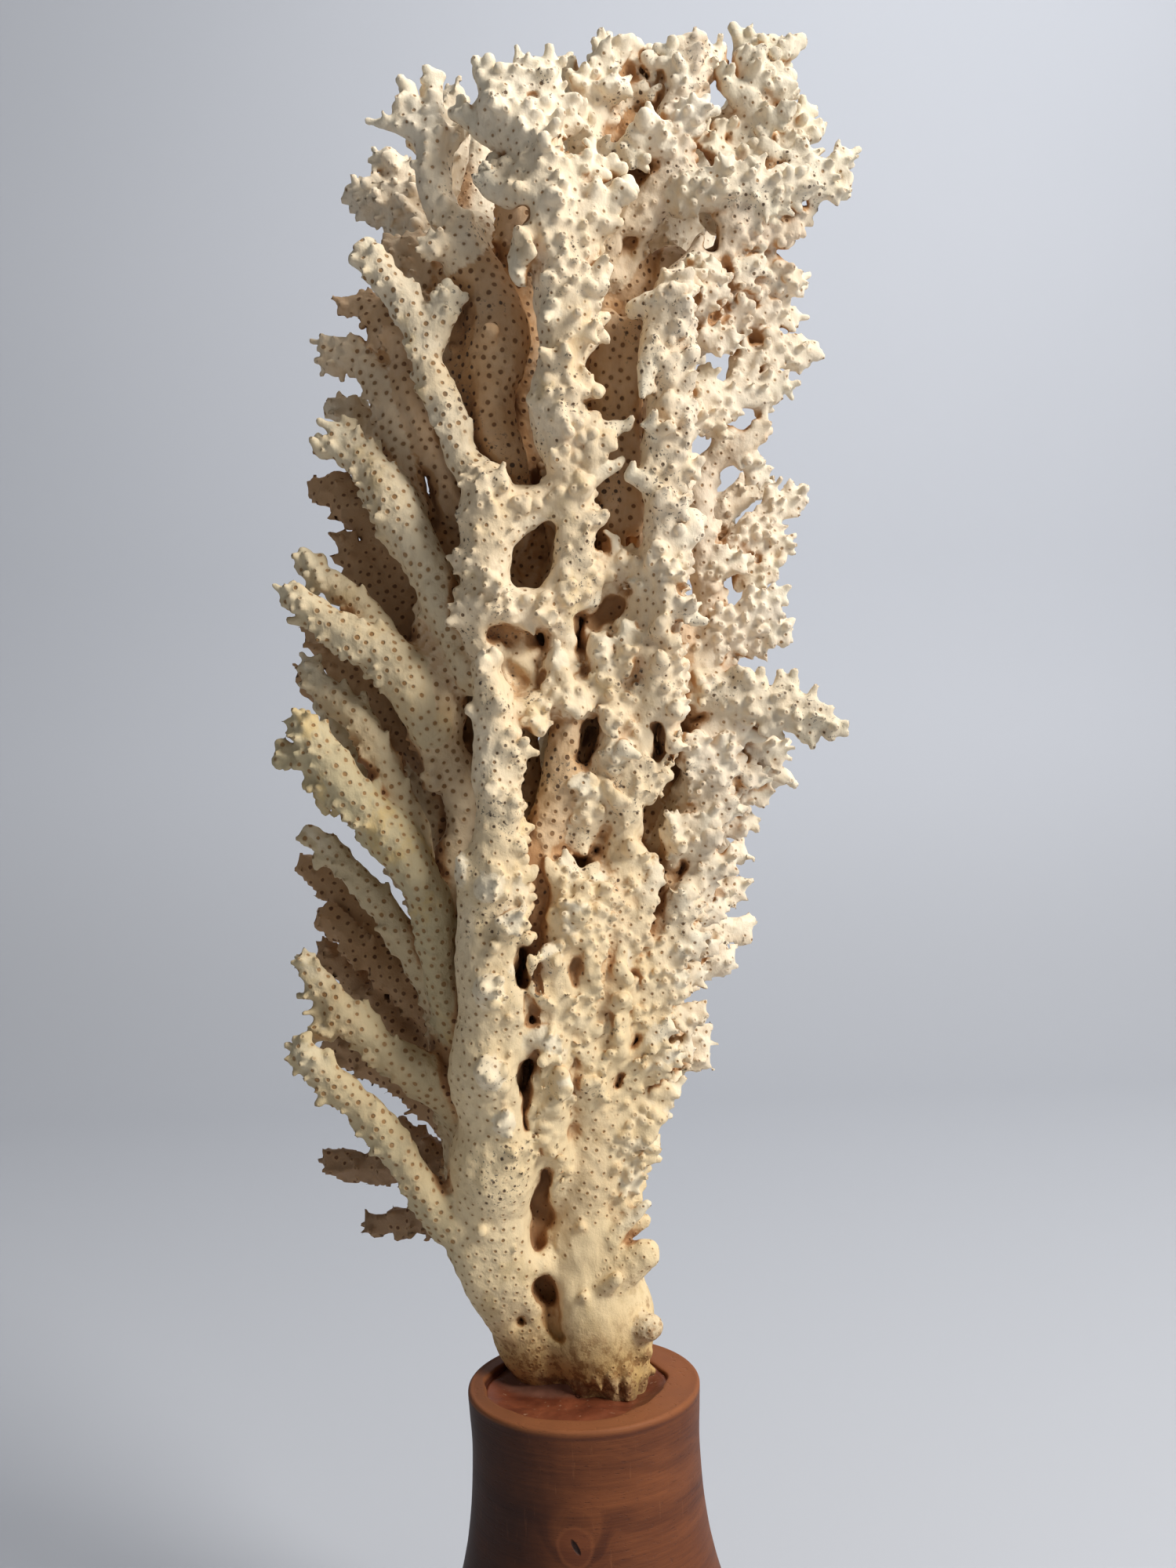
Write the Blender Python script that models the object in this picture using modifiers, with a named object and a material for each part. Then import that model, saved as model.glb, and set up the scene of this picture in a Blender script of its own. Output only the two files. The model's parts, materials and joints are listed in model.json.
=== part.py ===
"""Staghorn coral colony standing in the filled hollow of a turned wooden stand.

Metres, +Z up. The origin is the centre of the stand's foot. The colony faces -Y.
Lengths below are in millimetres and become metres when the shapes are made.
"""

import math

import bmesh
import bpy
import numpy as np
from mathutils import Vector

MM = 0.001

# Wooden stand
STAND_HEIGHT = 95.0
STAND_FOOT_RADIUS = 48.0
NECK_RADIUS = 24.6
RIM_RADIUS = 25.0
HOLLOW_RADIUS = 19.6
HOLLOW_DEPTH = 13.0
HOLLOW_SHIFT = -1.4
STAND_SIDES = 26

# Filler that holds the coral in the hollow
FILLER_TOP = 92.4
FILLER_PLAY = 0.3

# Coral
CORAL_FOOT = 86.0
CUT_GAP = 0.34
FACETS_KEPT = 0.39
SPINE_EVERY = 5

# The branches are laid out by how they look from in front, at this distance from the middle
# plane and at this height. A branch that stands further back is spread to keep its place.
VIEW_DISTANCE = 313.0
VIEW_HEIGHT = 224.0
VIEW_X = 5.4

CREAM = (0.80, 0.70, 0.53)
TAN = (0.66, 0.51, 0.36)
SHADED = (0.60, 0.50, 0.40)


def collection(name):
    made = bpy.data.collections.new(name)
    bpy.context.scene.collection.children.link(made)
    return made


for old in list(bpy.data.objects):
    bpy.data.objects.remove(old, do_unlink=True)

parts = collection("staghorn_coral")
cutters = collection("cutters")


def material(name, colour, roughness):
    made = bpy.data.materials.new(name)
    made.use_nodes = True
    shader = made.node_tree.nodes["Principled BSDF"]
    shader.inputs["Base Color"].default_value = (*colour, 1.0)
    shader.inputs["Roughness"].default_value = roughness
    shader.inputs["Metallic"].default_value = 0.0
    return made


def place(ob, group):
    """Links the object to its collection. Cutters are drawn as wires and never rendered."""
    for old in list(ob.users_collection):
        old.objects.unlink(ob)
    group.objects.link(ob)
    if group == cutters:
        ob.hide_render = True
        ob.display_type = "WIRE"
    return ob


def add_object(name, data, group):
    return place(bpy.data.objects.new(name, data), group)


def evaluated_mesh(ob):
    """The object's mesh with its modifiers, or its curve, worked out."""
    depsgraph = bpy.context.evaluated_depsgraph_get()
    depsgraph.update()
    return bpy.data.meshes.new_from_object(ob.evaluated_get(depsgraph))


def apply_modifiers(ob):
    mesh = evaluated_mesh(ob)
    ob.modifiers.clear()
    old = ob.data
    ob.data = mesh
    bpy.data.meshes.remove(old)


def join_or_cut(target, tool, operation, solver="EXACT", itself=False):
    """Boolean of target with tool, worked out at once. The tool stays."""
    change = target.modifiers.new(operation.lower(), "BOOLEAN")
    change.object = tool
    change.operation = operation
    change.solver = solver
    change.use_self = itself
    apply_modifiers(target)


def weld(mesh, distance):
    bm = bmesh.new()
    bm.from_mesh(mesh)
    bmesh.ops.remove_doubles(bm, verts=bm.verts, dist=distance * MM)
    bmesh.ops.recalc_face_normals(bm, faces=bm.faces)
    bm.to_mesh(mesh)
    bm.free()


def finish(ob, colour, roughness, angle):
    ob.data.materials.clear()
    ob.data.materials.append(material(ob.name + "_finish", colour, roughness))
    ob.data.shade_smooth()
    ob.data.set_sharp_from_angle(angle=math.radians(angle))


# Wooden stand: a turned neck over a wide foot, with an irregular hollow in its top
def turned(name, profile, steps):
    """Solid turned about Z from (radius, height) pairs that run from the top down."""
    mesh = bpy.data.meshes.new(name)
    verts = [(r * MM, 0.0, z * MM) for r, z in profile]
    mesh.from_pydata(verts, [(i, i + 1) for i in range(len(verts) - 1)], [])
    made = add_object(name, mesh, parts)
    screw = made.modifiers.new("turn", "SCREW")
    screw.steps = steps
    screw.render_steps = steps
    screw.use_merge_vertices = True
    screw.merge_threshold = 0.0001
    apply_modifiers(made)
    weld(made.data, 0.01)
    return made


STAND_PROFILE = [
    (0.0, STAND_HEIGHT),
    (RIM_RADIUS - 1.4, STAND_HEIGHT),
    (RIM_RADIUS, STAND_HEIGHT - 1.6),
    (NECK_RADIUS, 81.0),
    (25.3, 68.0),
    (28.0, 54.0),
    (32.6, 41.0),
    (39.4, 27.5),
    (45.4, 15.0),
    (STAND_FOOT_RADIUS, 6.5),
    (STAND_FOOT_RADIUS, 1.4),
    (STAND_FOOT_RADIUS - 1.4, 0.0),
    (0.0, 0.0),
]


def hollow_radius(angle):
    """The hollow was cut by hand: it is a little out of round."""
    return HOLLOW_RADIUS + 0.7 * math.cos(2 * angle + 0.6) + 0.45 * math.sin(3 * angle + 1.0)


def hollow_plug(name, bottom, top, play, group, sides=22):
    """Solid that fills the hollow between two heights, smaller all round by the play."""
    bpy.ops.mesh.primitive_cylinder_add(vertices=sides, radius=MM, depth=(top - bottom) * MM)
    made = place(bpy.context.object, group)
    made.name = name
    for v in made.data.vertices:
        angle = math.atan2(v.co.y, v.co.x)
        radius = (hollow_radius(angle) - play) * MM
        v.co.x = radius * math.cos(angle) + HOLLOW_SHIFT * MM
        v.co.y = radius * math.sin(angle)
        v.co.z += (top + bottom) / 2 * MM
    return made


wooden_stand = turned("wooden_stand", STAND_PROFILE, STAND_SIDES)
hollow = hollow_plug("hollow_cutter", STAND_HEIGHT - HOLLOW_DEPTH, STAND_HEIGHT + 5, 0.0, cutters)
join_or_cut(wooden_stand, hollow, "DIFFERENCE")
finish(wooden_stand, (0.20, 0.075, 0.035), 0.42, 40)


# Coral limbs: tapered tubes along hand-laid routes, fused into one solid for each fork
def seen(x, z, back, radius):
    """A route point by its place in the front view and its distance behind the middle plane."""
    spread = (VIEW_DISTANCE + back) / VIEW_DISTANCE
    return (
        (VIEW_X + (x - VIEW_X) * spread) * MM,
        back * MM,
        (VIEW_HEIGHT + (z - VIEW_HEIGHT) * spread) * MM,
        radius * spread * MM,
    )


def tube(points):
    """One tapered tube. A limb that bends has a rounded tip."""
    route = [seen(*p) for p in points]
    if len(points) > 2:
        last = Vector(route[-1][:3])
        ahead = (last - Vector(route[-2][:3])).normalized()
        tip_radius = route[-1][3]
        tip = last + ahead * tip_radius * 0.75
        route.append((*tip, tip_radius * 0.45))
    widest = max(p[3] for p in points)
    curve = bpy.data.curves.new("route", "CURVE")
    curve.dimensions = "3D"
    curve.bevel_depth = MM
    curve.bevel_resolution = 0 if len(points) == 2 else 2 if widest > 7.6 else 1
    curve.use_fill_caps = True
    spline = curve.splines.new("POLY")
    spline.points.add(len(route) - 1)
    for point, (x, y, z, radius) in zip(spline.points, route):
        point.co = (x, y, z, 1.0)
        point.radius = radius / MM
    holder = add_object("route", curve, cutters)
    mesh = evaluated_mesh(holder)
    bpy.data.objects.remove(holder)
    bpy.data.curves.remove(curve)
    weld(mesh, 0.002)
    return mesh


def raise_spines(ob, height, every):
    """Raises a blunt spine on every few facets that are large enough to carry one."""
    bm = bmesh.new()
    bm.from_mesh(ob.data)
    bmesh.ops.triangulate(bm, faces=bm.faces)
    large = [f for f in bm.faces if f.calc_area() > 4 * MM * MM and min(
        e.calc_length() for e in f.edges) > 1.6 * MM]
    for f in large[::every]:
        size = math.sqrt(f.calc_area())
        lift = f.normal * min(height * MM, 0.8 * size)
        poked = bmesh.ops.poke(bm, faces=[f])
        poked["verts"][0].co += lift + Vector((0, 0, 0.3 * lift.length))
    bm.to_mesh(ob.data)
    bm.free()


def largest_body(ob):
    """Keeps the largest connected piece and clears slivers that a cut left."""
    bm = bmesh.new()
    bm.from_mesh(ob.data)
    bmesh.ops.remove_doubles(bm, verts=bm.verts, dist=0.004 * MM)
    bmesh.ops.dissolve_degenerate(bm, edges=bm.edges, dist=0.004 * MM)
    bodies = []
    left = set(bm.faces)
    while left:
        start = left.pop()
        body = [start]
        for face in body:
            for e in face.edges:
                for other in e.link_faces:
                    if other in left:
                        left.discard(other)
                        body.append(other)
        bodies.append(body)
    bodies.sort(key=lambda body: sum(f.calc_area() for f in body))
    for body in bodies[:-1]:
        bmesh.ops.delete(bm, geom=body, context="FACES")
    for v in [v for v in bm.verts if not v.link_faces]:
        bm.verts.remove(v)
    bmesh.ops.recalc_face_normals(bm, faces=bm.faces)
    if bm.calc_volume(signed=True) < 0:
        bmesh.ops.reverse_faces(bm, faces=bm.faces)
    bmesh.ops.triangulate(bm, faces=bm.faces)
    bm.to_mesh(ob.data)
    closed = len(bm.faces) > 3 and all(len(e.link_faces) == 2 for e in bm.edges)
    bm.free()
    return closed


def swollen(ob, gap):
    """Cutter that stands out from ob by the gap, measured square to every face."""
    bm = bmesh.new()
    bm.from_mesh(ob.data)
    bmesh.ops.triangulate(bm, faces=bm.faces)
    moves = []
    for v in bm.verts:
        normals = [f.normal for f in v.link_faces if f.calc_area() > 1e-12]
        move = Vector()
        for _ in range(30):
            for normal in normals:
                short = gap * MM - move.dot(normal)
                if short > 0:
                    move += normal * short
        if move.length > 4 * gap * MM:
            move *= 4 * gap * MM / move.length
        moves.append(move)
    for v, move in zip(bm.verts, moves):
        v.co += move
    mesh = bpy.data.meshes.new("swollen")
    bm.to_mesh(mesh)
    bm.free()
    return add_object("swollen", mesh, cutters)


def cut_clear(ob, other, gap):
    """Cuts ob back from other by the gap, or a little more where the first cut isn't clean."""
    whole = ob.data.copy()
    tries = [(extra, solver, itself) for extra in (0.0, 0.05, 0.12, 0.2)
             for solver, itself in (("EXACT", False), ("EXACT", True), ("MANIFOLD", False))]
    for extra, solver, itself in tries:
        grown = swollen(other, gap + extra)
        join_or_cut(ob, grown, "DIFFERENCE", solver, itself)
        bpy.data.objects.remove(grown)
        closed = largest_body(ob)
        if closed and not clear_of(ob, other):
            join_or_cut(ob, other, "DIFFERENCE", solver, itself)
            closed = largest_body(ob) and clear_of(ob, other)
        if closed:
            return True
        ob.data = whole.copy()
    return False


def clear_of(ob, other):
    """True if the two solids share no space worth the name."""
    shared = add_object("shared", ob.data.copy(), cutters)
    join_or_cut(shared, other, "INTERSECT", itself=True)
    bm = bmesh.new()
    bm.from_mesh(shared.data)
    volume = abs(bm.calc_volume(signed=True)) / MM ** 3
    bm.free()
    bpy.data.objects.remove(shared)
    return volume < 0.002


coral = []


def box_of(ob):
    corners = np.array([v.co[:] for v in ob.data.vertices])
    return corners.min(0), corners.max(0)


def fused(name, limbs, spines, kept):
    """The limbs of one fork as one solid with spines, cut clear of the forks already made."""
    made = add_object(name, tube(limbs[0]), parts)
    for limb in limbs[1:]:
        twig = add_object("limb", tube(limb), cutters)
        join_or_cut(made, twig, "UNION")
        bpy.data.objects.remove(twig)
    largest_body(made)
    thin = made.modifiers.new("thin", "DECIMATE")
    thin.ratio = kept
    apply_modifiers(made)
    if spines > 0:
        raise_spines(made, spines, SPINE_EVERY)
    low, high = box_of(made)
    for other in coral:
        other_low, other_high = box_of(other)
        gap = 2 * MM
        if (low > other_high + gap).any() or (high < other_low - gap).any():
            continue
        if not cut_clear(made, other, CUT_GAP):
            bpy.data.objects.remove(made)
            return None
    return made


def branch(name, limbs, spines=1.3, colour=CREAM):
    """One fork of the colony. Where thinned facets won't cut cleanly, more of them are kept."""
    for kept, height in ((FACETS_KEPT, spines), (0.5, spines), (0.6, spines), (0.8, spines), (1.0, 0)):
        made = fused(name, limbs, height, kept)
        if made:
            break
    coral.append(made)
    finish(made, colour, 0.75, 50)
    return made


# Foot: three fused stems that stand sunk in the filler, with lumps, a broken stub and a pit
foot = branch("foot", [
    [(-6, 82, 7, 8.6), (-6.5, 96, 7, 9), (-9.5, 106, 7, 11), (-12.5, 115, 6, 11.2),
     (-16, 124, 4, 10.8), (-18.6, 131, 2, 9.6)],
    [(4, 82, 6.6, 8.6), (4.2, 97.5, 6.4, 8.8), (3.5, 107, 7, 12), (2.5, 115, 7, 12), (1, 123, 6, 9.6),
     (1, 128, 5, 7.6)],
    [(-1, 82, 8, 6.2), (-2, 99, 8, 7.6), (-4, 111, 13, 12), (-5, 122, 17, 14), (-6, 131, 18, 14)],
    [(6, 104, 4, 5), (13.6, 106, 1, 4.2)],
    [(6, 119, 2, 5), (14, 122, -1, 3.8)],
    [(4, 124, 2, 3.4), (8, 127, 0, 2.4), (15, 132.3, -1, 1.5)],
    [(-18, 111, 2, 5), (-22.5, 118, -2, 4.6), (-26, 128.5, -4, 4.2)],
], spines=0.0)
foot_cut = add_object("foot_cut", hollow.data.copy(), cutters)
for v in foot_cut.data.vertices:
    v.co.z += (CORAL_FOOT - STAND_HEIGHT - 5) * MM
join_or_cut(foot, foot_cut, "DIFFERENCE")
largest_body(foot)
bpy.ops.mesh.primitive_cone_add(
    vertices=8, radius1=1.2 * MM, radius2=3.4 * MM, depth=16 * MM,
    location=(-7.6 * MM, -2 * MM, 115.0 * MM), rotation=(math.radians(84), 0, 0),
)
pit = place(bpy.context.object, cutters)
join_or_cut(foot, pit, "DIFFERENCE")
largest_body(foot)
finish(foot, (0.72, 0.60, 0.40), 0.7, 50)

# Filler: a disc in the hollow that the foot is sunk into
filler = hollow_plug(
    "filler", STAND_HEIGHT - HOLLOW_DEPTH + FILLER_PLAY, FILLER_TOP, FILLER_PLAY, parts
)
cut_clear(filler, foot, CUT_GAP)
finish(filler, (0.24, 0.085, 0.05), 0.35, 40)

# Columns nearest the front, from the foot up
branch("front_column", [
    [(-19, 132, -1, 9.4), (-19, 142, -5, 9.4), (-18.5, 152, -9, 9), (-18, 162, -12, 8.6),
     (-17.8, 174, -15, 8), (-17.4, 188, -18, 7.6), (-16.8, 200, -20, 6.6),
     (-15.3, 210, -22, 5.2), (-14, 224, -23, 4.7), (-14.4, 240, -25, 4.6), (-15, 253, -26, 4)],
    [(-17, 180, -18, 3.4), (-17.5, 180.6, -26.5, 2.6)],
    [(-17.5, 162, -14, 3.4), (-18, 162.5, -22.5, 2.4)],
    [(-18, 203, -20, 4), (-22.4, 207.5, -23, 1.8)],
    [(-13, 168, -14, 3.4), (-6.5, 170.5, -17, 2)],
    [(-14.4, 252, -25, 3), (-12.2, 255.5, -28, 2)],
], spines=1.5)
branch("right_stem", [
    [(1, 128, 4, 7.6), (1.2, 136, 3, 7), (3, 146, 1, 7), (4, 158, -3, 6.2), (4.4, 172, -7, 5.2),
     (5.4, 182, -10, 4.8), (8, 190, -12, 4.5), (9.5, 198, -13, 4), (6.5, 207, -13, 2)],
    [(5, 132, 3, 4), (10, 133, 1, 2.4)],
    [(6, 141, 2, 4.4), (15, 143.5, 0, 2.4)],
    [(8, 146, 0, 4.4), (15.5, 148.3, -2, 2.4)],
    [(8, 151, 0, 5), (18.6, 152, -1, 2.4)],
    [(9, 155, 0, 5), (21.7, 156.5, -1, 2)],
], spines=1.5)
branch("middle_column", [
    [(-8, 140, 0, 4.2), (-6.2, 148, -5, 4.8), (-5, 158, -10, 4.6), (-4, 172, -13, 4.6),
     (-2.6, 184, -15, 4.8), (0, 196, -16, 4.4), (0.4, 207, -16, 2.2)],
], spines=1.5)
branch("inner_slanted_stem", [
    [(-12, 181, -12, 4.2), (-9.6, 190, -13, 3.8), (-6.7, 208, -15, 3.6), (-3, 217, -16, 3.6),
     (0, 227, -16, 3.6), (1.5, 236, -17, 4)],
], spines=0.0, colour=TAN)

# Inner stems behind the front columns, which the side branches grow from
branch("left_inner_stem", [
    [(-16, 132, 10, 9), (-20, 150, 6, 9), (-22.5, 170, 3, 8.4), (-23.5, 190, 1, 7.4),
     (-23.5, 206, -2, 6.4), (-22.3, 214, -3, 3.8), (-22.6, 226, -5, 4), (-26.6, 236, -7, 6),
     (-27.4, 248, -8, 6.2), (-24, 262, -7, 6)],
    [(-24, 206, 4, 6), (-27, 222, 5, 5.4), (-28, 240, 5, 6)],
    [(-24, 226, -6, 3), (-27.5, 225.7, -9, 2.2)],
], spines=0.0)
branch("middle_inner_stem", [
    [(-3, 134, 16, 10), (-1, 152, 12, 9.4), (1, 172, 8, 9), (3, 192, 5, 8.6), (6, 212, 3, 8.4),
     (7, 234, 1, 8.2), (6, 256, 0, 8), (6, 276, -1, 7.6), (8, 296, -2, 7.2), (10, 318, -3, 7),
     (12, 340, -4, 6.4)],
    [(4, 240, -2, 6), (-5, 252, -6, 6), (-10, 264, -6, 5.4)],
], spines=0.0, colour=TAN)
branch("right_inner_stem", [
    [(6, 140, 14, 7), (11, 160, 10, 7), (15, 182, 7, 6.6), (19, 204, 5, 6.6), (20, 226, 3, 6.4),
     (20.5, 250, 2, 5.6), (21, 270, 0, 5), (22, 292, -1, 5), (24, 314, -2, 5.4), (28, 334, -3, 5.6)],
], spines=0.0, colour=TAN)

# Right side, low: a leaning stem with a fringe of twigs
branch("right_low_stem", [
    [(9, 158, 0, 5.6), (13, 168, -3, 6), (15.5, 178, -5, 6), (18.5, 188, -6, 5.8),
     (23, 197, -6, 5), (28, 204, -6, 3.6)],
    [(8, 180, -10, 3), (12, 187.5, -12, 3), (15.5, 196, -13, 3), (19.6, 204.5, -13, 2)],
    [(24, 194, -3, 3), (32.7, 196.8, -1, 1.6)],
    [(14, 171, 0, 3), (21, 173.5, 2, 2.2), (28, 173.2, 4, 1.4)],
    [(17, 182, 0, 3), (27.9, 182.3, 1, 1.6)],
    [(24, 198, -2, 3), (31, 199, 1, 2.4), (37.6, 200.5, 3, 1.5)],
], spines=1.4)
branch("right_low_twigs", [
    [(10, 156, 12, 5), (16, 168, 15, 4.6), (21, 180, 18, 4.2), (26, 192, 20, 3.4), (31, 200, 21, 2)],
    [(13, 160, 12, 3.2), (21, 163, 12, 2.2), (28.2, 164.6, 12, 1.5)],
    [(19, 178, 17, 3), (28, 183, 18, 2.2), (35, 185.5, 18, 1.5)],
    [(24, 187, 20, 2.8), (31, 191, 22, 2.2), (38.6, 191.8, 23, 1.5)],
    [(11, 155, 8, 3), (22, 158.8, 7, 1.6)],
], spines=1.3, colour=SHADED)

# Middle band: front columns, the bars between them and the ring
branch("right_column", [
    [(10.5, 198, -10, 4.6), (12.5, 208, -12, 5), (14.5, 219, -14, 5.4), (18.5, 233, -15, 5.6),
     (21.5, 247, -17, 5.2), (22.8, 264, -19, 5), (24.4, 284, -20, 4.8), (25, 300, -22, 5),
     (24.6, 311, -22, 4.8), (26.4, 322, -23, 5.2), (28.4, 331, -23, 4)],
    [(23, 319, -25, 2.6), (20.8, 309.5, -27, 1.8)],
    [(26, 312, -24, 3.4), (31.5, 318, -26, 1.8)],
    [(22, 262, -20, 3.4), (29.6, 258.4, -20, 1.8)],
    [(24, 276, -21, 3.2), (30.4, 279, -21, 1.6)],
    [(23, 286, -22, 3.2), (17.4, 290, -24, 1.6)],
    [(21, 242, -18, 3.4), (27, 238.6, -20, 2)],
], spines=1.6)
branch("lower_bar", [
    [(-13, 240, -21, 3.4), (-5, 241.6, -19, 3.6), (4, 242.6, -18, 4), (12, 243, -17, 4.2),
     (18, 242, -16, 4.2)],
    [(0, 242, -18, 3), (-0.5, 251, -20, 2)],
    [(10, 244, -17, 3), (9.8, 254, -20, 2)],
    [(13, 244, -17, 3), (14.7, 257.6, -21, 1.8)],
], spines=1.4)
branch("upper_column", [
    [(3, 262, -17, 4.8), (4.2, 276, -20, 4.6), (2.6, 292, -22, 4.6), (1.6, 302, -23, 5),
     (2.4, 312, -24, 5.8), (3.6, 326, -25, 6.2), (3, 340, -27, 6.4), (1.4, 352, -28, 6.4),
     (-1.5, 362, -28, 5.2), (-7, 371, -27, 4), (-12.3, 379.5, -26, 2)],
    [(4, 290, -22, 3.2), (13.8, 292.5, -23, 1.6)],
    [(3, 300, -23, 3.4), (10, 300, -23, 2.6), (16.2, 301, -23, 1.5)],
    [(5, 310, -24, 3.2), (11, 309, -26, 1.6)],
    [(0, 360, -26, 4.6), (2, 371, -24, 4), (2.6, 380, -24, 2.2)],
    [(-7, 366, -26, 3.6), (-14, 367.5, -23, 3), (-18.5, 370.5, -21, 1.8)],
    [(-6, 368, -26, 3.4), (-7.9, 378.6, -25, 1.8)],
    [(6, 342, -27, 4.6), (13, 349, -27, 3.6), (17.5, 353, -27, 1.8)],
    [(5, 330, -26, 4), (12, 334, -27, 2)],
], spines=1.7)
branch("ring", [
    [(-15.5, 258, -20, 4.8), (-15.4, 272, -21, 5.4), (-14.4, 286, -22, 5.6), (-14.2, 289.5, -23, 4.4)],
    [(-15, 262, -20, 4.8), (-8, 261.6, -20, 4.6), (3, 263.4, -18, 4)],
    [(-14, 286, -21, 4), (-8, 285, -21, 3.5), (3, 284.6, -21, 3.2)],
    [(-16, 272, -21, 3.4), (-21, 273.5, -22, 2)],
    [(-6.5, 262, -20, 2.6), (-6.2, 255.5, -21, 1.7)],
    [(-18, 264, -20, 3.4), (-21.4, 261, -21, 2)],
], spines=1.6)
branch("upper_bar", [
    [(4, 266, -16, 3.6), (10, 269.6, -16, 3.5), (17, 270.6, -16, 3.4), (24, 268, -16, 3)],
    [(12, 270, -16, 2.8), (13, 276.5, -19, 1.6)],
    [(7, 268, -16, 3), (7.8, 262.6, -19, 1.8)],
], spines=1.4)
branch("inner_slot_stem", [
    [(12.5, 276, -12, 3.4), (12.4, 298, -13, 3.2), (12.6, 322, -14, 3.2)],
], spines=0.0, colour=TAN)

# Left fan, from the lowest branch up
branch("left_branch_1", [
    [(-20, 112, 0, 4.2), (-26, 122, -3, 4), (-31, 134, -6, 3.8), (-37.5, 144.5, -9, 3.6),
     (-47, 157, -12, 3.4), (-53, 163, -14, 3), (-59, 168.5, -15, 2)],
    [(-50, 160, -13, 3), (-53, 158.5, -13, 1.2)],
    [(-41, 150, -10, 3), (-40.4, 155, -10, 1.4)],
], spines=1.2)
branch("left_low_twigs", [
    [(-16, 134, 12, 6), (-25, 139, 14, 4), (-31, 143, 16, 3.2), (-41, 142.5, 20, 2.4), (-53.6, 144.2, 24, 1.4)],
    [(-24, 138, 14, 3), (-33, 131.5, 20, 2.4), (-45, 130.5, 24, 1.4)],
], spines=1.0, colour=SHADED)
branch("left_branch_2", [
    [(-22, 152, 0, 4.6), (-28.6, 159, -3, 4.6), (-37.4, 165.7, -6, 3.8), (-44, 170.4, -8, 3.2),
     (-50.7, 178, -9, 2.8), (-57.7, 189, -10, 1.5)],
    [(-49, 176, -9, 2.6), (-54.8, 171.8, -9, 1.2)],
    [(-54, 183, -9, 2.2), (-56.5, 180, -9, 1)],
], spines=1.2)
branch("left_shaded_branch_1", [
    [(-22, 150, 8, 5), (-35, 160, 13, 3), (-45, 166, 18, 2.6), (-52, 171, 22, 1.6)],
    [(-24, 162, 8, 5), (-34.6, 171, 13, 3.2), (-42, 178.8, 18, 2.6), (-53, 190, 24, 1.6)],
], spines=1.2, colour=SHADED)
branch("left_shaded_branch_2", [
    [(-24, 170, 10, 5), (-33, 180, 14, 3.6), (-41, 188, 18, 2.8), (-47.4, 199, 22, 2.4),
     (-56.2, 209, 26, 1.4)],
    [(-33, 182, 16, 3), (-40, 197, 22, 2.4), (-49.3, 208, 28, 1.4)],
], spines=1.2, colour=SHADED)
branch("left_branch_3", [
    [(-25, 166, 2, 4), (-27.6, 178, 0, 3.4), (-31.5, 186, -1, 3), (-36.4, 194, -2, 3),
     (-42, 202, -2, 2.8), (-55, 216, -1, 1.5)],
], spines=1.2)
branch("left_branch_4", [
    [(-25, 176, -4, 4), (-28.6, 190, -8, 4), (-31, 202, -11, 4.8), (-35.4, 211, -13, 5.2),
     (-41, 218.4, -14, 4.2), (-48.5, 226.8, -15, 4.2), (-53, 234, -16, 3.8), (-56.4, 240, -16, 1.8)],
    [(-52, 232, -15, 3.2), (-61, 233.3, -14, 1)],
    [(-48, 224, -14, 3), (-52, 222.6, -14, 1.2)],
], spines=1.2)
branch("left_branch_5", [
    [(-34, 213, -9, 4), (-36, 225, -9, 3.6), (-39.5, 232, -9, 3.4), (-43.8, 239.6, -9, 3.2),
     (-54, 252, -8, 1.6)],
    [(-38, 222, -4, 3), (-45.3, 234, 0, 2.2), (-51, 244, 4, 1.6)],
], spines=1.2)
branch("left_branch_6", [
    [(-28, 238, -10, 5), (-33.2, 247, -12, 5.2), (-36.6, 252.8, -13, 5.2), (-42, 257, -14, 4),
     (-49.6, 260.5, -14, 3.2), (-58.3, 268, -14, 1.6)],
    [(-36, 252, -11, 4.4), (-42, 264, -9, 3), (-47, 268.4, -8, 2.6), (-54.2, 274.8, -7, 1.6)],
], spines=1.2)
branch("left_shaded_branch_3", [
    [(-27, 232, 0, 4.4), (-35, 237, 2, 3.4), (-40.2, 245, 3, 3), (-51.5, 254.6, 6, 1.6)],
    [(-34, 240, 8, 3.4), (-40, 251, 10, 2.4), (-53, 258.4, 14, 1.4)],
    [(-28, 222, 8, 4.6), (-38, 230, 14, 3.4), (-46, 240, 20, 2.6), (-55, 250, 24, 1.5)],
], spines=1.2, colour=SHADED)
branch("left_branch_7", [
    [(-19, 252, -12, 5), (-24.5, 262, -13, 4.6), (-28, 272, -13, 4.8), (-32.3, 281, -13, 5),
     (-34.6, 288, -13, 5.2), (-38.7, 294, -12, 3.6), (-47, 303, -11, 1.6)],
    [(-40, 295, -12, 2.8), (-49.3, 299.6, -11, 1.3)],
], spines=1.2)
branch("left_shaded_branch_4", [
    [(-29, 250, 0, 5), (-35, 260, 2, 3.6), (-40, 270, 4, 3), (-46, 278.5, 6, 1.6)],
    [(-30, 258, 2, 4), (-35.6, 274, 6, 3.4), (-41, 283.4, 9, 2.8), (-47, 292.5, 12, 1.6)],
    [(-42, 285, 9, 2.6), (-51.8, 290, 14, 1.4)],
], spines=1.2, colour=SHADED)
branch("left_branch_8", [
    [(-31.6, 286, -8, 4.6), (-32.8, 297, -6, 3.6), (-34.4, 307, -4, 3.2), (-38, 315.6, -2, 2.8),
     (-48, 322, 0, 1.5)],
    [(-36, 300, 2, 2.8), (-47.7, 308, 6, 1.4)],
], spines=1.2, colour=SHADED)
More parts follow.
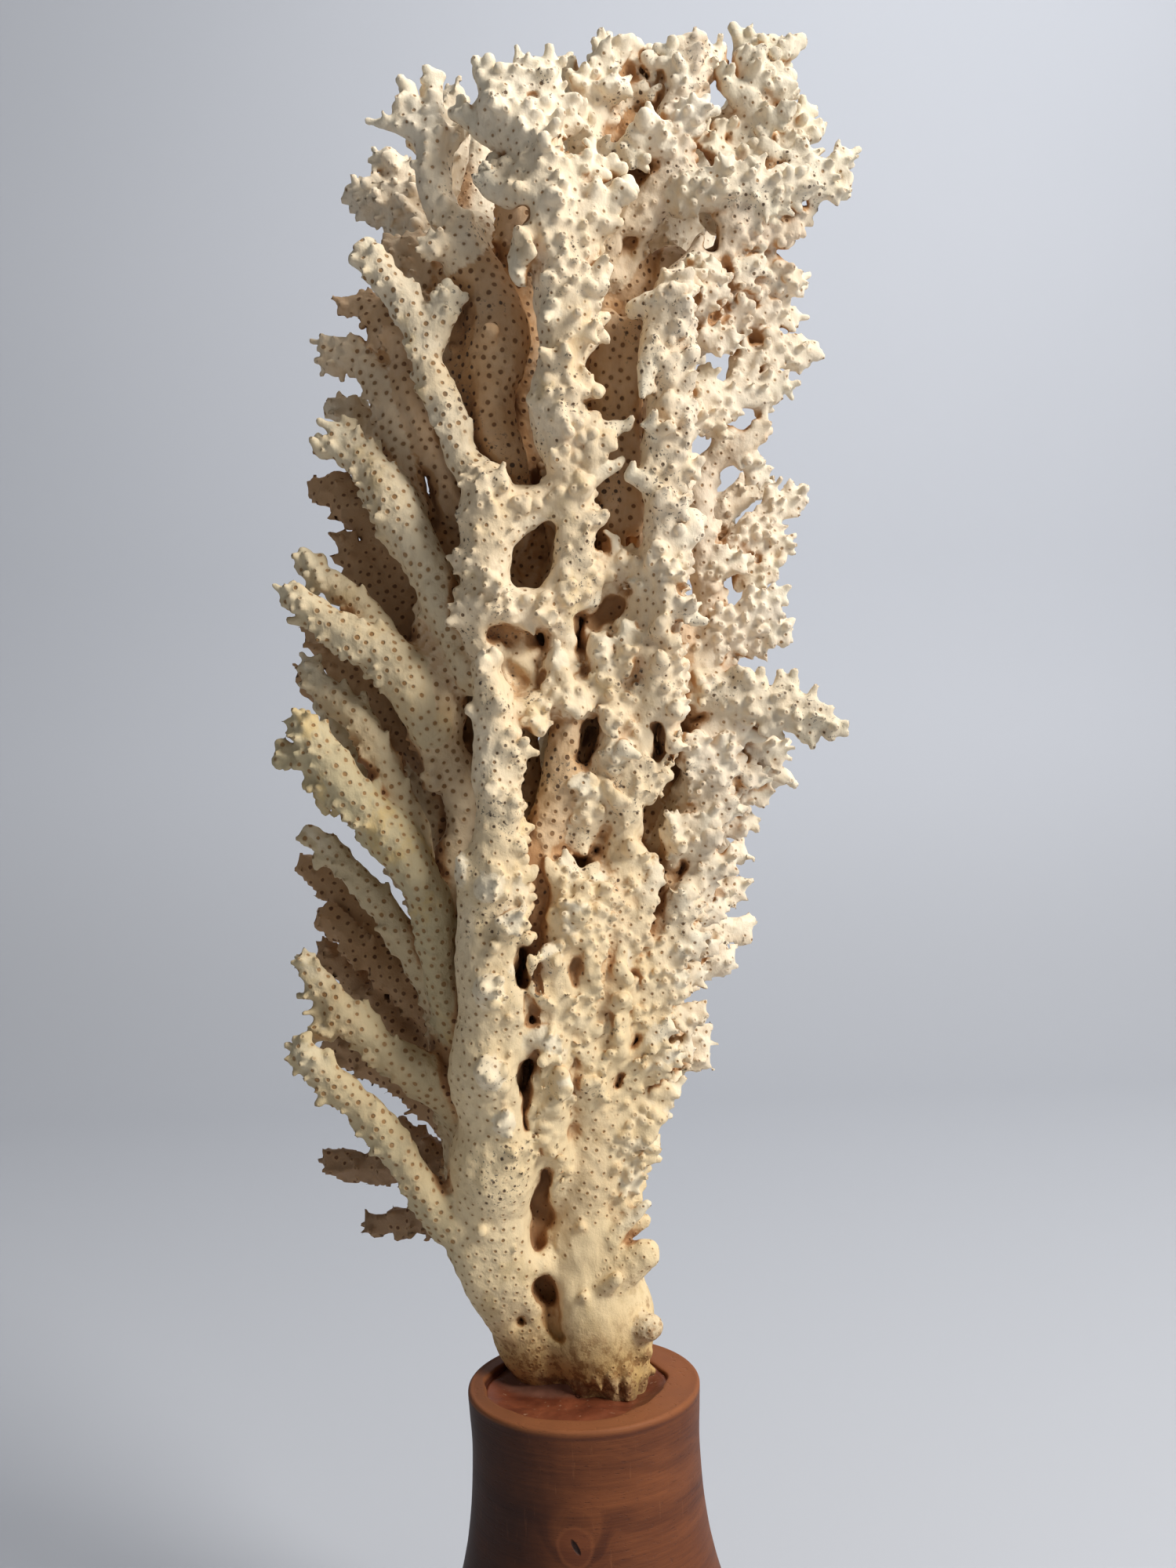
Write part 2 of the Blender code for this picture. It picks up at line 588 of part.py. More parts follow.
branch("left_branch_9", [
    [(-15, 290, -20, 4), (-19.9, 296, -20, 3.6), (-22.4, 305, -20, 3.5), (-26.2, 318, -20, 3.3),
     (-29.6, 328, -20, 3.2), (-35, 336, -20, 2.8), (-41, 339.6, -19, 1.4)],
    [(-24, 320, -20, 3.2), (-20, 330, -20, 2.6)],
    [(-34, 334.6, -20, 2.6), (-38.4, 343, -20, 1.4)],
], spines=1.2)
branch("left_inner_upper_stem", [
    [(-23, 262, 2, 6), (-22, 284, 0, 5.6), (-22, 302, 0, 5.2), (-22, 320, 0, 5), (-22, 338, 0, 5)],
    [(-22, 302, -2, 4), (-30, 312, -4, 3.2), (-33, 322, -4, 3.2), (-36.7, 322.4, -4, 2.2)],
    [(-32, 321, -4, 3), (-38, 328, -2, 2.6), (-43.5, 330, 0, 1.4)],
], spines=0.0, colour=SHADED)
branch("left_branch_10", [
    [(-21, 333, -6, 4), (-28.5, 341, -8, 3.2), (-33.3, 341.4, -8, 2.2)],
    [(-22, 329, -6, 3.4), (-27, 334, -8, 2.6), (-31, 337.4, -8, 1.8)],
], spines=1.0, colour=TAN)
branch("brown_stem", [
    [(-8.3, 286, -12, 4), (-11.6, 299, -13, 5.4), (-12.2, 312, -14, 5.6), (-11.4, 325, -15, 6.8),
     (-14, 333, -15, 6), (-18, 341.5, -16, 4.4)],
    [(-12.4, 322, -18, 3.4), (-12.4, 323, -23, 1.8)],
], spines=0.0, colour=TAN)
branch("antler", [
    [(-18, 341, -17, 4.6), (-22.4, 350, -18, 3.7), (-23.2, 364, -18, 3.6), (-28, 367.6, -18, 2.6),
     (-34.4, 369, -18, 1.4)],
    [(-24, 365, -18, 3.2), (-28.7, 376, -18, 1.4)],
    [(-23.4, 364, -18, 3), (-22.5, 378, -17, 1.4)],
    [(-20, 342, -18, 3.4), (-24.6, 341.4, -21, 2.4)],
], spines=1.2)
branch("left_top_clump", [
    [(-22, 340, 6, 5), (-26, 348, 8, 4.6), (-33, 352, 9, 4), (-39.4, 353.4, 10, 2.2)],
    [(-27, 350, 8, 4), (-30.5, 358, 8, 2.8), (-35.6, 361, 8, 1.5)],
    [(-24, 348, 12, 4.4), (-20, 362, 12, 4), (-18, 374, 10, 2)],
], spines=1.5, colour=SHADED)

# Right side, middle and upper
branch("right_fringe_low", [
    [(20, 204, 0, 6), (26, 213, -2, 5.6), (30, 223, -4, 5.4), (32, 234, -6, 5.4), (33, 246, -7, 4.8),
     (31, 255, -6, 3.4)],
    [(28, 214, -1, 3.2), (40, 214.6, 1, 1.5)],
    [(30, 220, -3, 3.2), (43.6, 221, -1, 1.6)],
    [(31, 225, -4, 3.2), (40, 227, -2, 2.4), (48, 224.6, 0, 1.4)],
    [(33, 231, -5, 3), (46.9, 230, -2, 1.6)],
    [(25, 208, 4, 3), (38, 208, 10, 1.4)],
], spines=1.6)
branch("right_branch_1", [
    [(32, 243, -9, 4.6), (38.6, 241, -11, 3.6), (46, 239, -12, 3), (53, 236.7, -13, 2.6),
     (58.7, 235, -14, 1.4)],
    [(46, 239, -12, 2.8), (52, 243.6, -12, 1.3)],
    [(49, 238, -12, 2.6), (53.6, 231, -13, 1.3)],
], spines=1.4)
branch("right_branch_2", [
    [(32, 250, -7, 4), (38.4, 256, -8, 3.4), (48.4, 263.6, -10, 1.8)],
    [(37, 254, -7, 2.8), (44.4, 252.8, -7, 1.4)],
    [(41, 258, -8, 2.8), (49.4, 255.6, -8, 1.4)],
], spines=1.4)
branch("right_branch_3", [
    [(31.8, 254, -2, 3.4), (32.2, 268, -3, 3.1), (31.6, 284, -4, 3), (34, 292, -5, 3),
     (40, 295.2, -6, 2.8), (45.4, 299.6, -7, 1.6)],
    [(33, 270, -1, 2.8), (44, 277.5, 1, 2.6), (52.6, 285, 3, 1.5)],
    [(32, 268, -3, 2.8), (39.4, 271.4, -5, 2)],
    [(43, 278, 1, 2.4), (50, 274, 2, 1.2)],
], spines=1.2)
branch("right_branch_4", [
    [(25, 303.5, -16, 4), (33, 303, -13, 3), (40.6, 307.2, -10, 2.8), (51.4, 308.6, -8, 1.5)],
    [(40, 308, -9, 2.4), (42.4, 314, -8, 2.4), (48, 315.6, -7, 2.2), (57.4, 317, -5, 1.3)],
    [(41, 307, -9, 2.4), (47.4, 303.6, -8, 1.2)],
], spines=1.3)
branch("right_branch_5", [
    [(27, 320, -10, 5), (35, 323, -9, 4.2), (43, 322.4, -7, 3.4), (53.4, 324, -5, 1.5)],
    [(34, 324, -9, 3.8), (43, 330.4, -8, 3.2), (54.4, 331.4, -7, 1.6)],
    [(37, 323, -5, 3), (50, 318.6, 2, 1.4)],
], spines=1.4)
branch("right_branch_6", [
    [(28, 329, -15, 5), (36, 338, -13, 4.8), (44, 345.5, -14, 4.6), (46.6, 351.5, -15, 4)],
    [(39, 338.6, -10, 3.8), (47, 341.4, -11, 3.4), (55, 345.4, -12, 2.4)],
], spines=0.9, colour=TAN)
branch("right_branch_7", [
    [(30, 350, -15, 4), (38, 352, -17, 3.6), (48, 351.6, -17, 3.4), (58, 352.6, -15, 2.8),
     (67, 358, -13, 1.3)],
    [(57, 352.4, -15, 2.4), (66, 349.4, -13, 1.2)],
    [(53, 352, -15, 2.6), (59.4, 360, -14, 1.2)],
    [(44, 352, -17, 3), (50, 346.4, -18, 1.3)],
], spines=1.5)
branch("right_top_stem", [
    [(14.5, 337, -9, 4.8), (20, 345.6, -12, 4.8), (27, 354.6, -14, 4.4), (29.4, 366, -14, 4.2),
     (32.4, 373, -13, 4), (32.6, 383.4, -13, 2.2)],
    [(27, 360, -15, 3.4), (20, 364.6, -19, 2.4)],
    [(31, 372, -12, 3.4), (22.4, 379.4, -8, 1.8)],
    [(32, 374, -12, 3.2), (39.6, 382.6, -10, 1.5)],
], spines=1.1)
branch("right_top_branch", [
    [(38, 346, -6, 4.2), (42, 357, -7, 4.4), (46, 366, -8, 4.4), (48.2, 374, -8, 4.2),
     (51, 383, -8, 2)],
    [(46, 356, -5, 3.4), (53, 364, -4, 2.8), (58, 368.6, -3, 1.5)],
    [(46, 368, -8, 3.4), (44.8, 384.6, -6, 1.7)],
    [(44, 362, -8, 3.2), (37, 368, -8, 1.6)],
], spines=1.5)
branch("middle_top", [
    [(8, 336, -8, 6), (9, 352, -12, 5.2), (11.6, 368, -14, 4.8), (15, 382.8, -14, 2.6)],
    [(9, 356, -10, 4.4), (16, 360, -14, 3.6), (21, 358.6, -18, 1.8)],
    [(10, 362, -8, 4), (5, 380, -8, 2)],
], spines=1.5)

# Back of the colony: the same kind of columns and side branches, which the front view hides
branch("back_middle_column", [
    [(-3, 130, 20, 11), (-1, 156, 22, 9.4), (1, 190, 25, 8.4), (2, 226, 28, 7.4), (3, 264, 31, 6.8),
     (4, 304, 33, 6.4), (5, 342, 34, 5.4), (3, 364, 34, 2.6)],
    [(2, 232, 29, 4.4), (-4, 250, 36, 3.2), (-7, 268, 39, 1.8)],
    [(3, 286, 32, 4.4), (8, 302, 38, 3.4), (12, 320, 40, 1.8)],
    [(0, 180, 25, 4.4), (6, 194, 32, 3), (8, 210, 35, 1.6)],
    [(6, 332, 34, 4), (15, 352, 36, 2)],
    [(-2, 156, 24, 4), (-6, 168, 35, 1.8)],
    [(4, 318, 34, 4), (-5, 338, 39, 1.8)],
], spines=1.6)
branch("back_left_column", [
    [(-10, 138, 18, 9), (-16, 168, 19, 7.4), (-19, 204, 20, 6.6), (-20, 240, 21, 6.2),
     (-20, 276, 22, 5.8), (-18, 310, 24, 5.4), (-16, 342, 26, 4.8), (-13, 366, 26, 2.4)],
    [(-19, 216, 20, 4), (-28, 232, 28, 3), (-36, 244, 34, 1.8)],
    [(-18, 180, 20, 4), (-28, 196, 28, 3), (-36, 206, 33, 1.6)],
    [(-18, 320, 24, 4), (-26, 340, 30, 3), (-31, 352, 33, 1.6)],
    [(-20, 256, 22, 4), (-28, 276, 31, 1.8)],
    [(-18, 296, 24, 4), (-25, 312, 34, 1.6)],
    [(-14, 160, 20, 4), (-24, 170, 32, 1.6)],
], spines=1.5)
branch("back_right_column", [
    [(5, 138, 18, 9), (12, 168, 19, 7.4), (16, 204, 20, 6.6), (18, 240, 22, 6), (19, 276, 23, 5.4),
     (22, 312, 25, 5.2), (27, 342, 26, 4.8), (30, 364, 26, 2.4)],
    [(17, 226, 22, 4), (26, 240, 29, 3), (34, 250, 34, 1.6)],
    [(21, 306, 25, 4), (33, 322, 29, 3.4), (42, 334, 31, 1.8)],
    [(25, 330, 26, 4), (36, 346, 28, 3.4), (44, 358, 29, 2)],
    [(14, 188, 20, 4), (24, 200, 30, 1.6)],
    [(19, 268, 23, 4), (27, 286, 32, 1.8)],
    [(10, 158, 20, 4), (18, 168, 31, 1.6)],
], spines=1.5)
branch("back_left_fan", [
    [(-17, 232, 8, 6), (-17, 290, 9, 5.6), (-16, 344, 10, 4.6)],
    [(-18, 262, 9, 5.4), (-28, 280, 14, 4), (-36, 296, 18, 3), (-41, 308, 21, 1.6)],
    [(-18, 284, 10, 5), (-26, 306, 15, 4), (-33, 326, 19, 3), (-36, 340, 21, 1.6)],
    [(-18, 240, 9, 5), (-31, 256, 16, 3.4), (-42, 266, 21, 1.8)],
], spines=1.2, colour=SHADED)
branch("back_right_fan", [
    [(17, 226, 11, 5.4), (18, 280, 11, 5), (22, 318, 11, 5), (27, 346, 11, 4.4), (34, 366, 10, 2.4)],
    [(22, 314, 12, 4.4), (37, 330, 15, 3.6), (48, 340, 17, 2)],
    [(18, 228, 12, 5), (29, 236, 14, 3.6), (41, 242, 16, 1.8)],
    [(19, 256, 12, 4), (26, 250, 18, 2)],
    [(25, 340, 12, 4), (40, 352, 16, 3), (48, 362, 18, 1.8)],
], spines=1.3, colour=SHADED)
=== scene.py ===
"""Staghorn coral colony on its turned wooden stand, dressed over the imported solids."""

import json
import math
import random

import bpy
import numpy as np
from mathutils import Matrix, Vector, kdtree, noise

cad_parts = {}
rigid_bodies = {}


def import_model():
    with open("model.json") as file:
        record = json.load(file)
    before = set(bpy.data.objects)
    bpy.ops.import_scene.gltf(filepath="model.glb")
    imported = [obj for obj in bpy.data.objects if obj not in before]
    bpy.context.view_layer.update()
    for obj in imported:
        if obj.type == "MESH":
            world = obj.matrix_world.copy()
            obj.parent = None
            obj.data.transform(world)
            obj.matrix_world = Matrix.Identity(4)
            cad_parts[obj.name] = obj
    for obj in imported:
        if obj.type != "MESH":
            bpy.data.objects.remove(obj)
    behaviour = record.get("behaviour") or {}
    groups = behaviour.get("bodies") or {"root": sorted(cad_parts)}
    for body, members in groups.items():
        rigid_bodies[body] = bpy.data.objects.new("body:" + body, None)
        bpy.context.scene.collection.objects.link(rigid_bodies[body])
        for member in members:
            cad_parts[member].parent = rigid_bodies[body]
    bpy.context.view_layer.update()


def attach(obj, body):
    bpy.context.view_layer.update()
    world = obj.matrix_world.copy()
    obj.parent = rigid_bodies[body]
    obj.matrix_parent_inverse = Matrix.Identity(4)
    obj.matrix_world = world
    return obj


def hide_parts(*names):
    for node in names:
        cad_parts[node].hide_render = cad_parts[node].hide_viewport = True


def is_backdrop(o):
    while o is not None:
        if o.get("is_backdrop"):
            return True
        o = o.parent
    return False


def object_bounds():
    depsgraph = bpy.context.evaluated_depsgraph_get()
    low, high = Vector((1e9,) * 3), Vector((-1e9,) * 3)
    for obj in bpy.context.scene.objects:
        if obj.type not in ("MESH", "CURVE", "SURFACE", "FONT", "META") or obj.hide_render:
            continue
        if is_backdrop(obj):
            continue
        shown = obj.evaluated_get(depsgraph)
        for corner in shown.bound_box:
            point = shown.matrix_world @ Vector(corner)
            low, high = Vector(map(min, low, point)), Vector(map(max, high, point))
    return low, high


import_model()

MM = 0.001


# Wooden stand. The real one is a neck turned from one block of red-brown hardwood, waxed and
# handled, with a hollow cut by hand in its top. The grain runs across the neck, with one small
# knot low in front, and the rim is worn pale.
STAND_HEIGHT = 95.0
STAND_SIDES = 144
UNDERSIDE = [(0.2, 0.0), (40, 0.0), (46.9, 0.0), (47.6, 0.5)]
WALL = [
    (48.0, 1.4), (48.0, 6.5), (45.4, 15.0), (39.4, 27.5), (32.6, 41.0), (28.0, 54.0),
    (25.3, 68.0), (24.6, 81.0), (24.9, 90.0), (25.05, 93.9),
]
WALL_STEP = 1.4
LIP = [(25.04, 94.3), (24.96, 94.6), (24.8, 94.8), (24.56, 94.91), (24.3, 94.95)]
RIM_PARTS = (0.08, 0.3, 0.55, 0.8, 0.95)
RIM_WEAR = 0.45
HOLLOW_SHIFT = -1.4
HOLLOW_RADIUS = 19.6
HOLLOW_WALL = [
    (0.32, 94.7), (0.16, 94.5), (0.06, 94.2), (0.0, 93.4), (-0.05, 92.4), (-0.2, 90.6),
    (-0.5, 85), (-2.0, 82.4), (-10, 82.1), (-18, 82.0),
]
KNOT_X, KNOT_HEIGHT = -0.0024, 0.0718


def smooth_line(points, step):
    """Points along a smooth curve through the given ones, about one step apart."""
    points = np.array(points, float)
    ends = np.vstack([2 * points[0] - points[1], points, 2 * points[-1] - points[-2]])
    made = []
    for a, b, c, d in zip(ends[:-3], ends[1:-2], ends[2:-1], ends[3:]):
        parts = max(1, round(np.linalg.norm((c - b)[:3]) / step))
        for t in np.arange(parts) / parts:
            made.append(0.5 * (2 * b + (c - a) * t + (2 * a - 5 * b + 4 * c - d) * t * t
                               + (3 * b - a - 3 * c + d) * t ** 3))
    made.append(points[-1])
    return np.array(made)


def hollow_radius(angle):
    return HOLLOW_RADIUS + 0.7 * np.cos(2 * angle + 0.6) + 0.45 * np.sin(3 * angle + 1.0)


def cut_edge(angle):
    """The hollow's edge as the knife left it, drawn in on the right."""
    return (hollow_radius(angle) - 1.7 * np.maximum(0, np.cos(angle)) ** 2
            + 0.3 * np.sin(4 * angle + 0.5) + 0.16 * np.sin(6 * angle + 2)
            + 0.12 * np.sin(9 * angle + 1) + 0.08 * np.sin(15 * angle))


def new_piece(name, verts, faces):
    """A smooth-shaded mesh piece from points in millimetres."""
    mesh = bpy.data.meshes.new(name)
    mesh.from_pydata([tuple(v) for v in np.asarray(verts) * MM], [], faces)
    mesh.shade_smooth()
    made = bpy.data.objects.new(name, mesh)
    bpy.context.scene.collection.objects.link(made)
    return made


def ring_faces(rings, sides):
    """Quads between each ring of points and the next."""
    return [
        (r * sides + i, r * sides + (i + 1) % sides, (r + 1) * sides + (i + 1) % sides,
         (r + 1) * sides + i)
        for r in range(rings - 1) for i in range(sides)
    ]


def stand_rings():
    """Rings of points from the underside up the wall, over the rim and down the hollow."""
    angle = np.linspace(0, 2 * math.pi, STAND_SIDES, endpoint=False)
    turned = [(r, z) for r, z, _ in smooth_line([(r, z, 0) for r, z in WALL], WALL_STEP)]
    rings = []
    for r, z in UNDERSIDE + turned + LIP:
        worn = 0.10 * np.sin(3 * angle + 0.2 * z) * np.sin(5 * angle + 1.0) * (z > 60)
        rings.append((r + worn * (z < 94), np.full_like(angle, z), 0.0))
    edge = cut_edge(angle)
    rim_radius = LIP[-1][0]
    for part in RIM_PARTS:
        dip = 0.16 + 0.1 * np.sin(2 * angle + 2.2) * part
        reach = rim_radius + (edge + RIM_WEAR - rim_radius) * part
        rings.append((reach, STAND_HEIGHT - dip, part))
    for out, z in HOLLOW_WALL:
        chip = 0.16 * np.sin(9 * angle + z) + 0.1 * np.sin(17 * angle + 2 * z)
        rings.append((edge + out + chip * (z > 88), np.full_like(angle, z), 1.0))
    return [np.stack([radius * np.cos(angle) + shift * HOLLOW_SHIFT, radius * np.sin(angle),
                      height], 1) for radius, height, shift in rings]


rings = stand_rings()
faces = [tuple(range(STAND_SIDES))[::-1]] + ring_faces(len(rings), STAND_SIDES)
faces += [tuple(range((len(rings) - 1) * STAND_SIDES, len(rings) * STAND_SIDES))]
stand = new_piece("stand_turned_neck", np.concatenate(rings), faces)


class Value:
    """A node's output in the material being made. Sums with it add their Math nodes."""

    tree = None

    def __init__(self, socket):
        self.socket = socket

    @classmethod
    def node(cls, kind, settings, sockets, output=0):
        made = cls.tree.nodes.new("ShaderNode" + kind)
        for name, value in settings.items():
            if name != "stops":
                setattr(made, name, value)
                continue
            while len(made.color_ramp.elements) < len(value):
                made.color_ramp.elements.new(0.5)
            for element, (place, colour) in zip(made.color_ramp.elements, value):
                element.position = place
                element.color = colour
        for name, value in sockets.items():
            if isinstance(value, cls):
                cls.tree.links.new(value.socket, made.inputs[name])
            else:
                made.inputs[name].default_value = value
        return cls(made.outputs[output])

    def maths(self, operation, *others):
        return self.node("Math", {"operation": operation}, dict(enumerate((self, *others))))

    def __add__(self, other):
        return self.maths("ADD", other)

    def __mul__(self, other):
        return self.maths("MULTIPLY", other)

    def __sub__(self, other):
        return self.maths("SUBTRACT", other)

    def __rsub__(self, other):
        return self.node("Math", {"operation": "SUBTRACT"}, {0: other, 1: self})

    __radd__ = __add__
    __rmul__ = __mul__

    def between(self, low, high):
        """0 below low, 1 above high and smooth between. With low above high it falls."""
        sizes = {"Value": self, "From Min": low, "From Max": high}
        return self.node("MapRange", {"interpolation_type": "SMOOTHSTEP"}, sizes)

    def axis(self, name):
        """One axis of a place or of three painted numbers."""
        return self.node("SeparateXYZ", {}, {"Vector": self}, name)


def object_place():
    """Where each point of the surface is on the object, in metres."""
    return Value.node("TexCoord", {}, {}, "Object")


def stretched(*by):
    """The object's place stretched along each axis, for a grain that runs one way."""
    return Value.node("VectorMath", {"operation": "MULTIPLY"}, {0: object_place(), 1: by})


def grain(where, scale, detail=3.0, rough=0.55, twist=0.0):
    """Fractal noise from 0 to 1."""
    return Value.node("TexNoise", {}, {
        "Vector": where, "Scale": scale, "Detail": detail, "Roughness": rough, "Distortion": twist})


def rgb(r, g, b):
    """A colour as seen on screen, from 0 to 255, as the shader wants it."""
    made = [c / 255 for c in (r, g, b)]
    return tuple(c / 12.92 if c < 0.04045 else ((c + 0.055) / 1.055) ** 2.4 for c in made) + (1.0,)


def mixed(amount, a, b):
    return Value.node("Mix", {"data_type": "RGBA"}, {0: amount, 6: a, 7: b}, 2)


def layered(base, *layers):
    """A colour with others laid over it in turn, each by its own amount."""
    for amount, colour in layers:
        base = mixed(amount, base, rgb(*colour))
    return base


def start_material(name):
    """A new material whose nodes are made next, and its shader."""
    made = bpy.data.materials.new(name)
    made.use_nodes = True
    Value.tree = made.node_tree
    return made, made.node_tree.nodes["Principled BSDF"]


def dress(shader, **sockets):
    """Links values to the shader's sockets, and sets plain numbers on them."""
    for name, value in sockets.items():
        socket = shader.inputs[name.replace("_", " ")]
        if isinstance(value, Value):
            Value.tree.links.new(value.socket, socket)
        else:
            socket.default_value = value


def bumped(height, distance, strength=1.0, under=None):
    sockets = {"Height": height, "Distance": distance, "Strength": strength}
    if under:
        sockets["Normal"] = under
    return Value.node("Bump", {}, sockets)


turned_wood, shader = start_material("turned_wood_waxed")
where = object_place()
height = where.axis("Z")
sideways = where.axis("X")
off_front = (1 - where.axis("Y").between(0.0, -0.01)) * 0.05
knot_x = sideways - KNOT_X
knot_z = height - KNOT_HEIGHT
knot_away = (knot_x * knot_x + knot_z * knot_z * 0.8).maths("SQRT") + off_front
knot_away = knot_away + (grain(where, 160.0, 2.0) - 0.5) * 0.0016
across = knot_x * 0.87 + knot_z * 0.5
down = knot_x * 0.5 - knot_z * 0.87
slit = (across * across * 9.0 + down * down).maths("SQRT") + off_front
wander = grain(where, 30.0, 3.0)
figure = Value.node("CombineXYZ", {}, {
    "X": sideways * 9.0 + wander * 0.5, "Y": wander * 0.3,
    "Z": height * 120.0 + wander * 1.7 + knot_away.between(0.009, 0.003) * 0.9 + sideways * 14.0})
bands = grain(figure, 1.6, 5.0, 0.62, 0.2)
fibre = grain(stretched(70.0, 70.0, 1900.0), 1.0, 4.0, 0.7)
pores = grain(stretched(700.0, 700.0, 2600.0), 1.0, 2.0, 0.6)
scratches = grain(stretched(1100.0, 1100.0, 120.0), 1.0, 3.0, 0.6)
lathe = grain(stretched(8.0, 8.0, 2600.0), 1.0, 2.0, 0.5)
cloud = grain(where, 42.0, 4.0, 0.6)
rim = height.between(0.0936, 0.0944)
rim_line = height.between(0.0938, 0.0933) * height.between(0.0926, 0.0932)
knot_ring = knot_away.between(0.0041, 0.0035) * knot_away.between(0.0029, 0.0034)
level = Value.node("VectorMath", {"operation": "MULTIPLY"}, {0: where, 1: (1.0, 1.0, 0.0)})
from_axis = Value.node("VectorMath", {"operation": "LENGTH"}, {0: level}, "Value")
wood = Value.node("ValToRGB", {"stops": [
    (0.0, rgb(54, 26, 16)), (0.36, rgb(82, 43, 25)), (0.5, rgb(106, 59, 33)),
    (0.64, rgb(124, 71, 40)), (0.85, rgb(150, 90, 52))]},
    {"Fac": bands * 0.5 + fibre * 0.28 + cloud * 0.34 - 0.08})
wood = layered(
    wood,
    # Painted shade, with some darker wood: the stand darkens towards its left, away from the light, in
    # cloudy patches.
    ((cloud * 0.6 + sideways * 24.0).between(0.42, -0.25) * 0.8, (40, 19, 11)),
    (pores.between(0.60, 0.78) * 0.4, (56, 28, 20)),
    (scratches.between(0.64, 0.76) * 0.12, (176, 116, 76)),
    (knot_away.between(0.0040, 0.0028) * 0.4, (112, 60, 36)),
    (knot_ring * wander * 0.5, (152, 90, 54)),
    (slit.between(0.0021, 0.0011) * 0.95, (34, 18, 13)),
    (rim * (0.4 + cloud * 0.5), (146, 90, 54)),
    (rim * fibre.between(0.5, 0.7) * 0.25, (112, 64, 42)),
    (rim_line * 0.5, (74, 40, 28)),
    (from_axis.between(0.0222, 0.0208) * height.between(0.0947, 0.0938) * 0.8, (96, 50, 35)))
normal = bumped(lathe * 0.6 + fibre * 0.6 - scratches.between(0.62, 0.76) * 0.2, 0.00010, 0.7)
normal = bumped(pores.between(0.58, 0.8), -0.00016, 0.6, normal)
normal = bumped(slit.between(0.0019, 0.0009), -0.0008, 0.9, normal)
dress(shader, Base_Color=wood, Roughness=0.46 + cloud * 0.22 + rim * 0.12, Normal=normal,
       Coat_Weight=0.04, Coat_Roughness=0.4, Specular_IOR_Level=0.2)
stand.data.materials.append(turned_wood)
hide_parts("wooden_stand")
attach(stand, "root")


# Filler. Red-brown casting wax was poured round the coral's foot. It has sunk in the middle,
# crept up the hollow's wall and carries a grey smear of dust and glue beside the foot.
FILLER_TOP = 92.4
FILLER_BOTTOM = 82.4
FILLER_SIDES = 144
FILLER_RINGS = 36
FOOT_PLACE = (-1.5, 10.5)
FOOT_SIZE = (14.5, 8.6)


def filler_height(x, y, angle, part):
    """How high the wax stands at a place, which is that part of the way out to the wall."""
    away = math.hypot((x - FOOT_PLACE[0]) / FOOT_SIZE[0], (y - FOOT_PLACE[1]) / FOOT_SIZE[1])
    rise = 1.6 * math.exp(-max(0.0, away - 0.9) * 6.0)
    creep = (1.9 + 0.7 * math.cos(angle)) * max(0.0, part - 0.6) ** 2 * 6.25
    swell = noise.noise(Vector((x / 6, y / 6, 3.0))) * 0.55
    swell += noise.noise(Vector((x / 1.7, y / 1.7, 7.0))) * 0.14 * (1 + 2 * rise)
    return FILLER_TOP - 1.0 + rise + creep + swell


def filler_disc():
    angle = np.linspace(0, 2 * math.pi, FILLER_SIDES, endpoint=False)
    verts = [[HOLLOW_SHIFT, 0.0, FILLER_TOP - 0.5]]
    for ring in range(1, FILLER_RINGS + 1):
        part = ring / FILLER_RINGS
        for a, r in zip(angle, (cut_edge(angle) - 0.03) * part):
            x, y = r * math.cos(a) + HOLLOW_SHIFT, r * math.sin(a)
            verts.append([x, y, filler_height(x, y, a, part)])
    for a, r in zip(angle, hollow_radius(angle) - 0.6):
        verts.append([r * math.cos(a) + HOLLOW_SHIFT, r * math.sin(a), FILLER_BOTTOM])
    faces = [(0, 1 + i, 1 + (i + 1) % FILLER_SIDES) for i in range(FILLER_SIDES)]
    faces += [tuple(1 + v for v in face) for face in ring_faces(FILLER_RINGS + 1, FILLER_SIDES)]
    faces.append(tuple(1 + FILLER_RINGS * FILLER_SIDES + i for i in range(FILLER_SIDES))[::-1])
    return verts, faces


filler = new_piece("filler_poured_wax", *filler_disc())
red_wax, shader = start_material("red_wax_dusty")
where = object_place()
foot_x = (where.axis("X") - FOOT_PLACE[0] * MM) * (1 / (FOOT_SIZE[0] * MM))
foot_y = (where.axis("Y") - FOOT_PLACE[1] * MM) * (1 / (FOOT_SIZE[1] * MM))
drift = grain(where, 90.0, 4.0, 0.6, 0.4)
specks = grain(where, 900.0, 2.0, 0.6)
from_foot = (foot_x * foot_x + foot_y * foot_y).maths("SQRT") + (drift - 0.5) * 0.5
dust = from_foot.between(1.42, 1.05) * (0.2 + drift * 0.9)
wax = layered(
    mixed(drift.between(0.3, 0.7), rgb(98, 48, 29), rgb(136, 74, 46)),
    (dust.maths("MINIMUM", 0.8), (152, 108, 88)),
    (specks.between(0.66, 0.74) * 0.5, (196, 160, 130)))
dress(shader, Base_Color=wax, Roughness=0.40 + dust * 0.3 + drift * 0.12,
       Normal=bumped(drift + specks * 0.12, 0.0006, 0.5), Coat_Weight=0.1, Coat_Roughness=0.25)
filler.data.materials.append(red_wax)
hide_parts("filler")
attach(filler, "root")


# Coral skeleton. The colony is one limy skeleton that grew as limbs: each fork below is laid
# along its routes and takes its own place in the record, and the last coral section grows the
# skin over all of them at once, because on the real one the limbs have fused where they meet.
VIEW_DISTANCE = 313.0
VIEW_HEIGHT = 224.0
VIEW_X = 5.4
ROUTE_STEP = 1.7
WEB = 0.85
KNOB_WEB = 0.42
STOUT_LIMB = 3.3
THINNEST_KNOBBED = 2.1
limbs = []
forks = []
hollows = []   # route in the front view, radius, nearest and furthest reach
dice = random.Random(5)


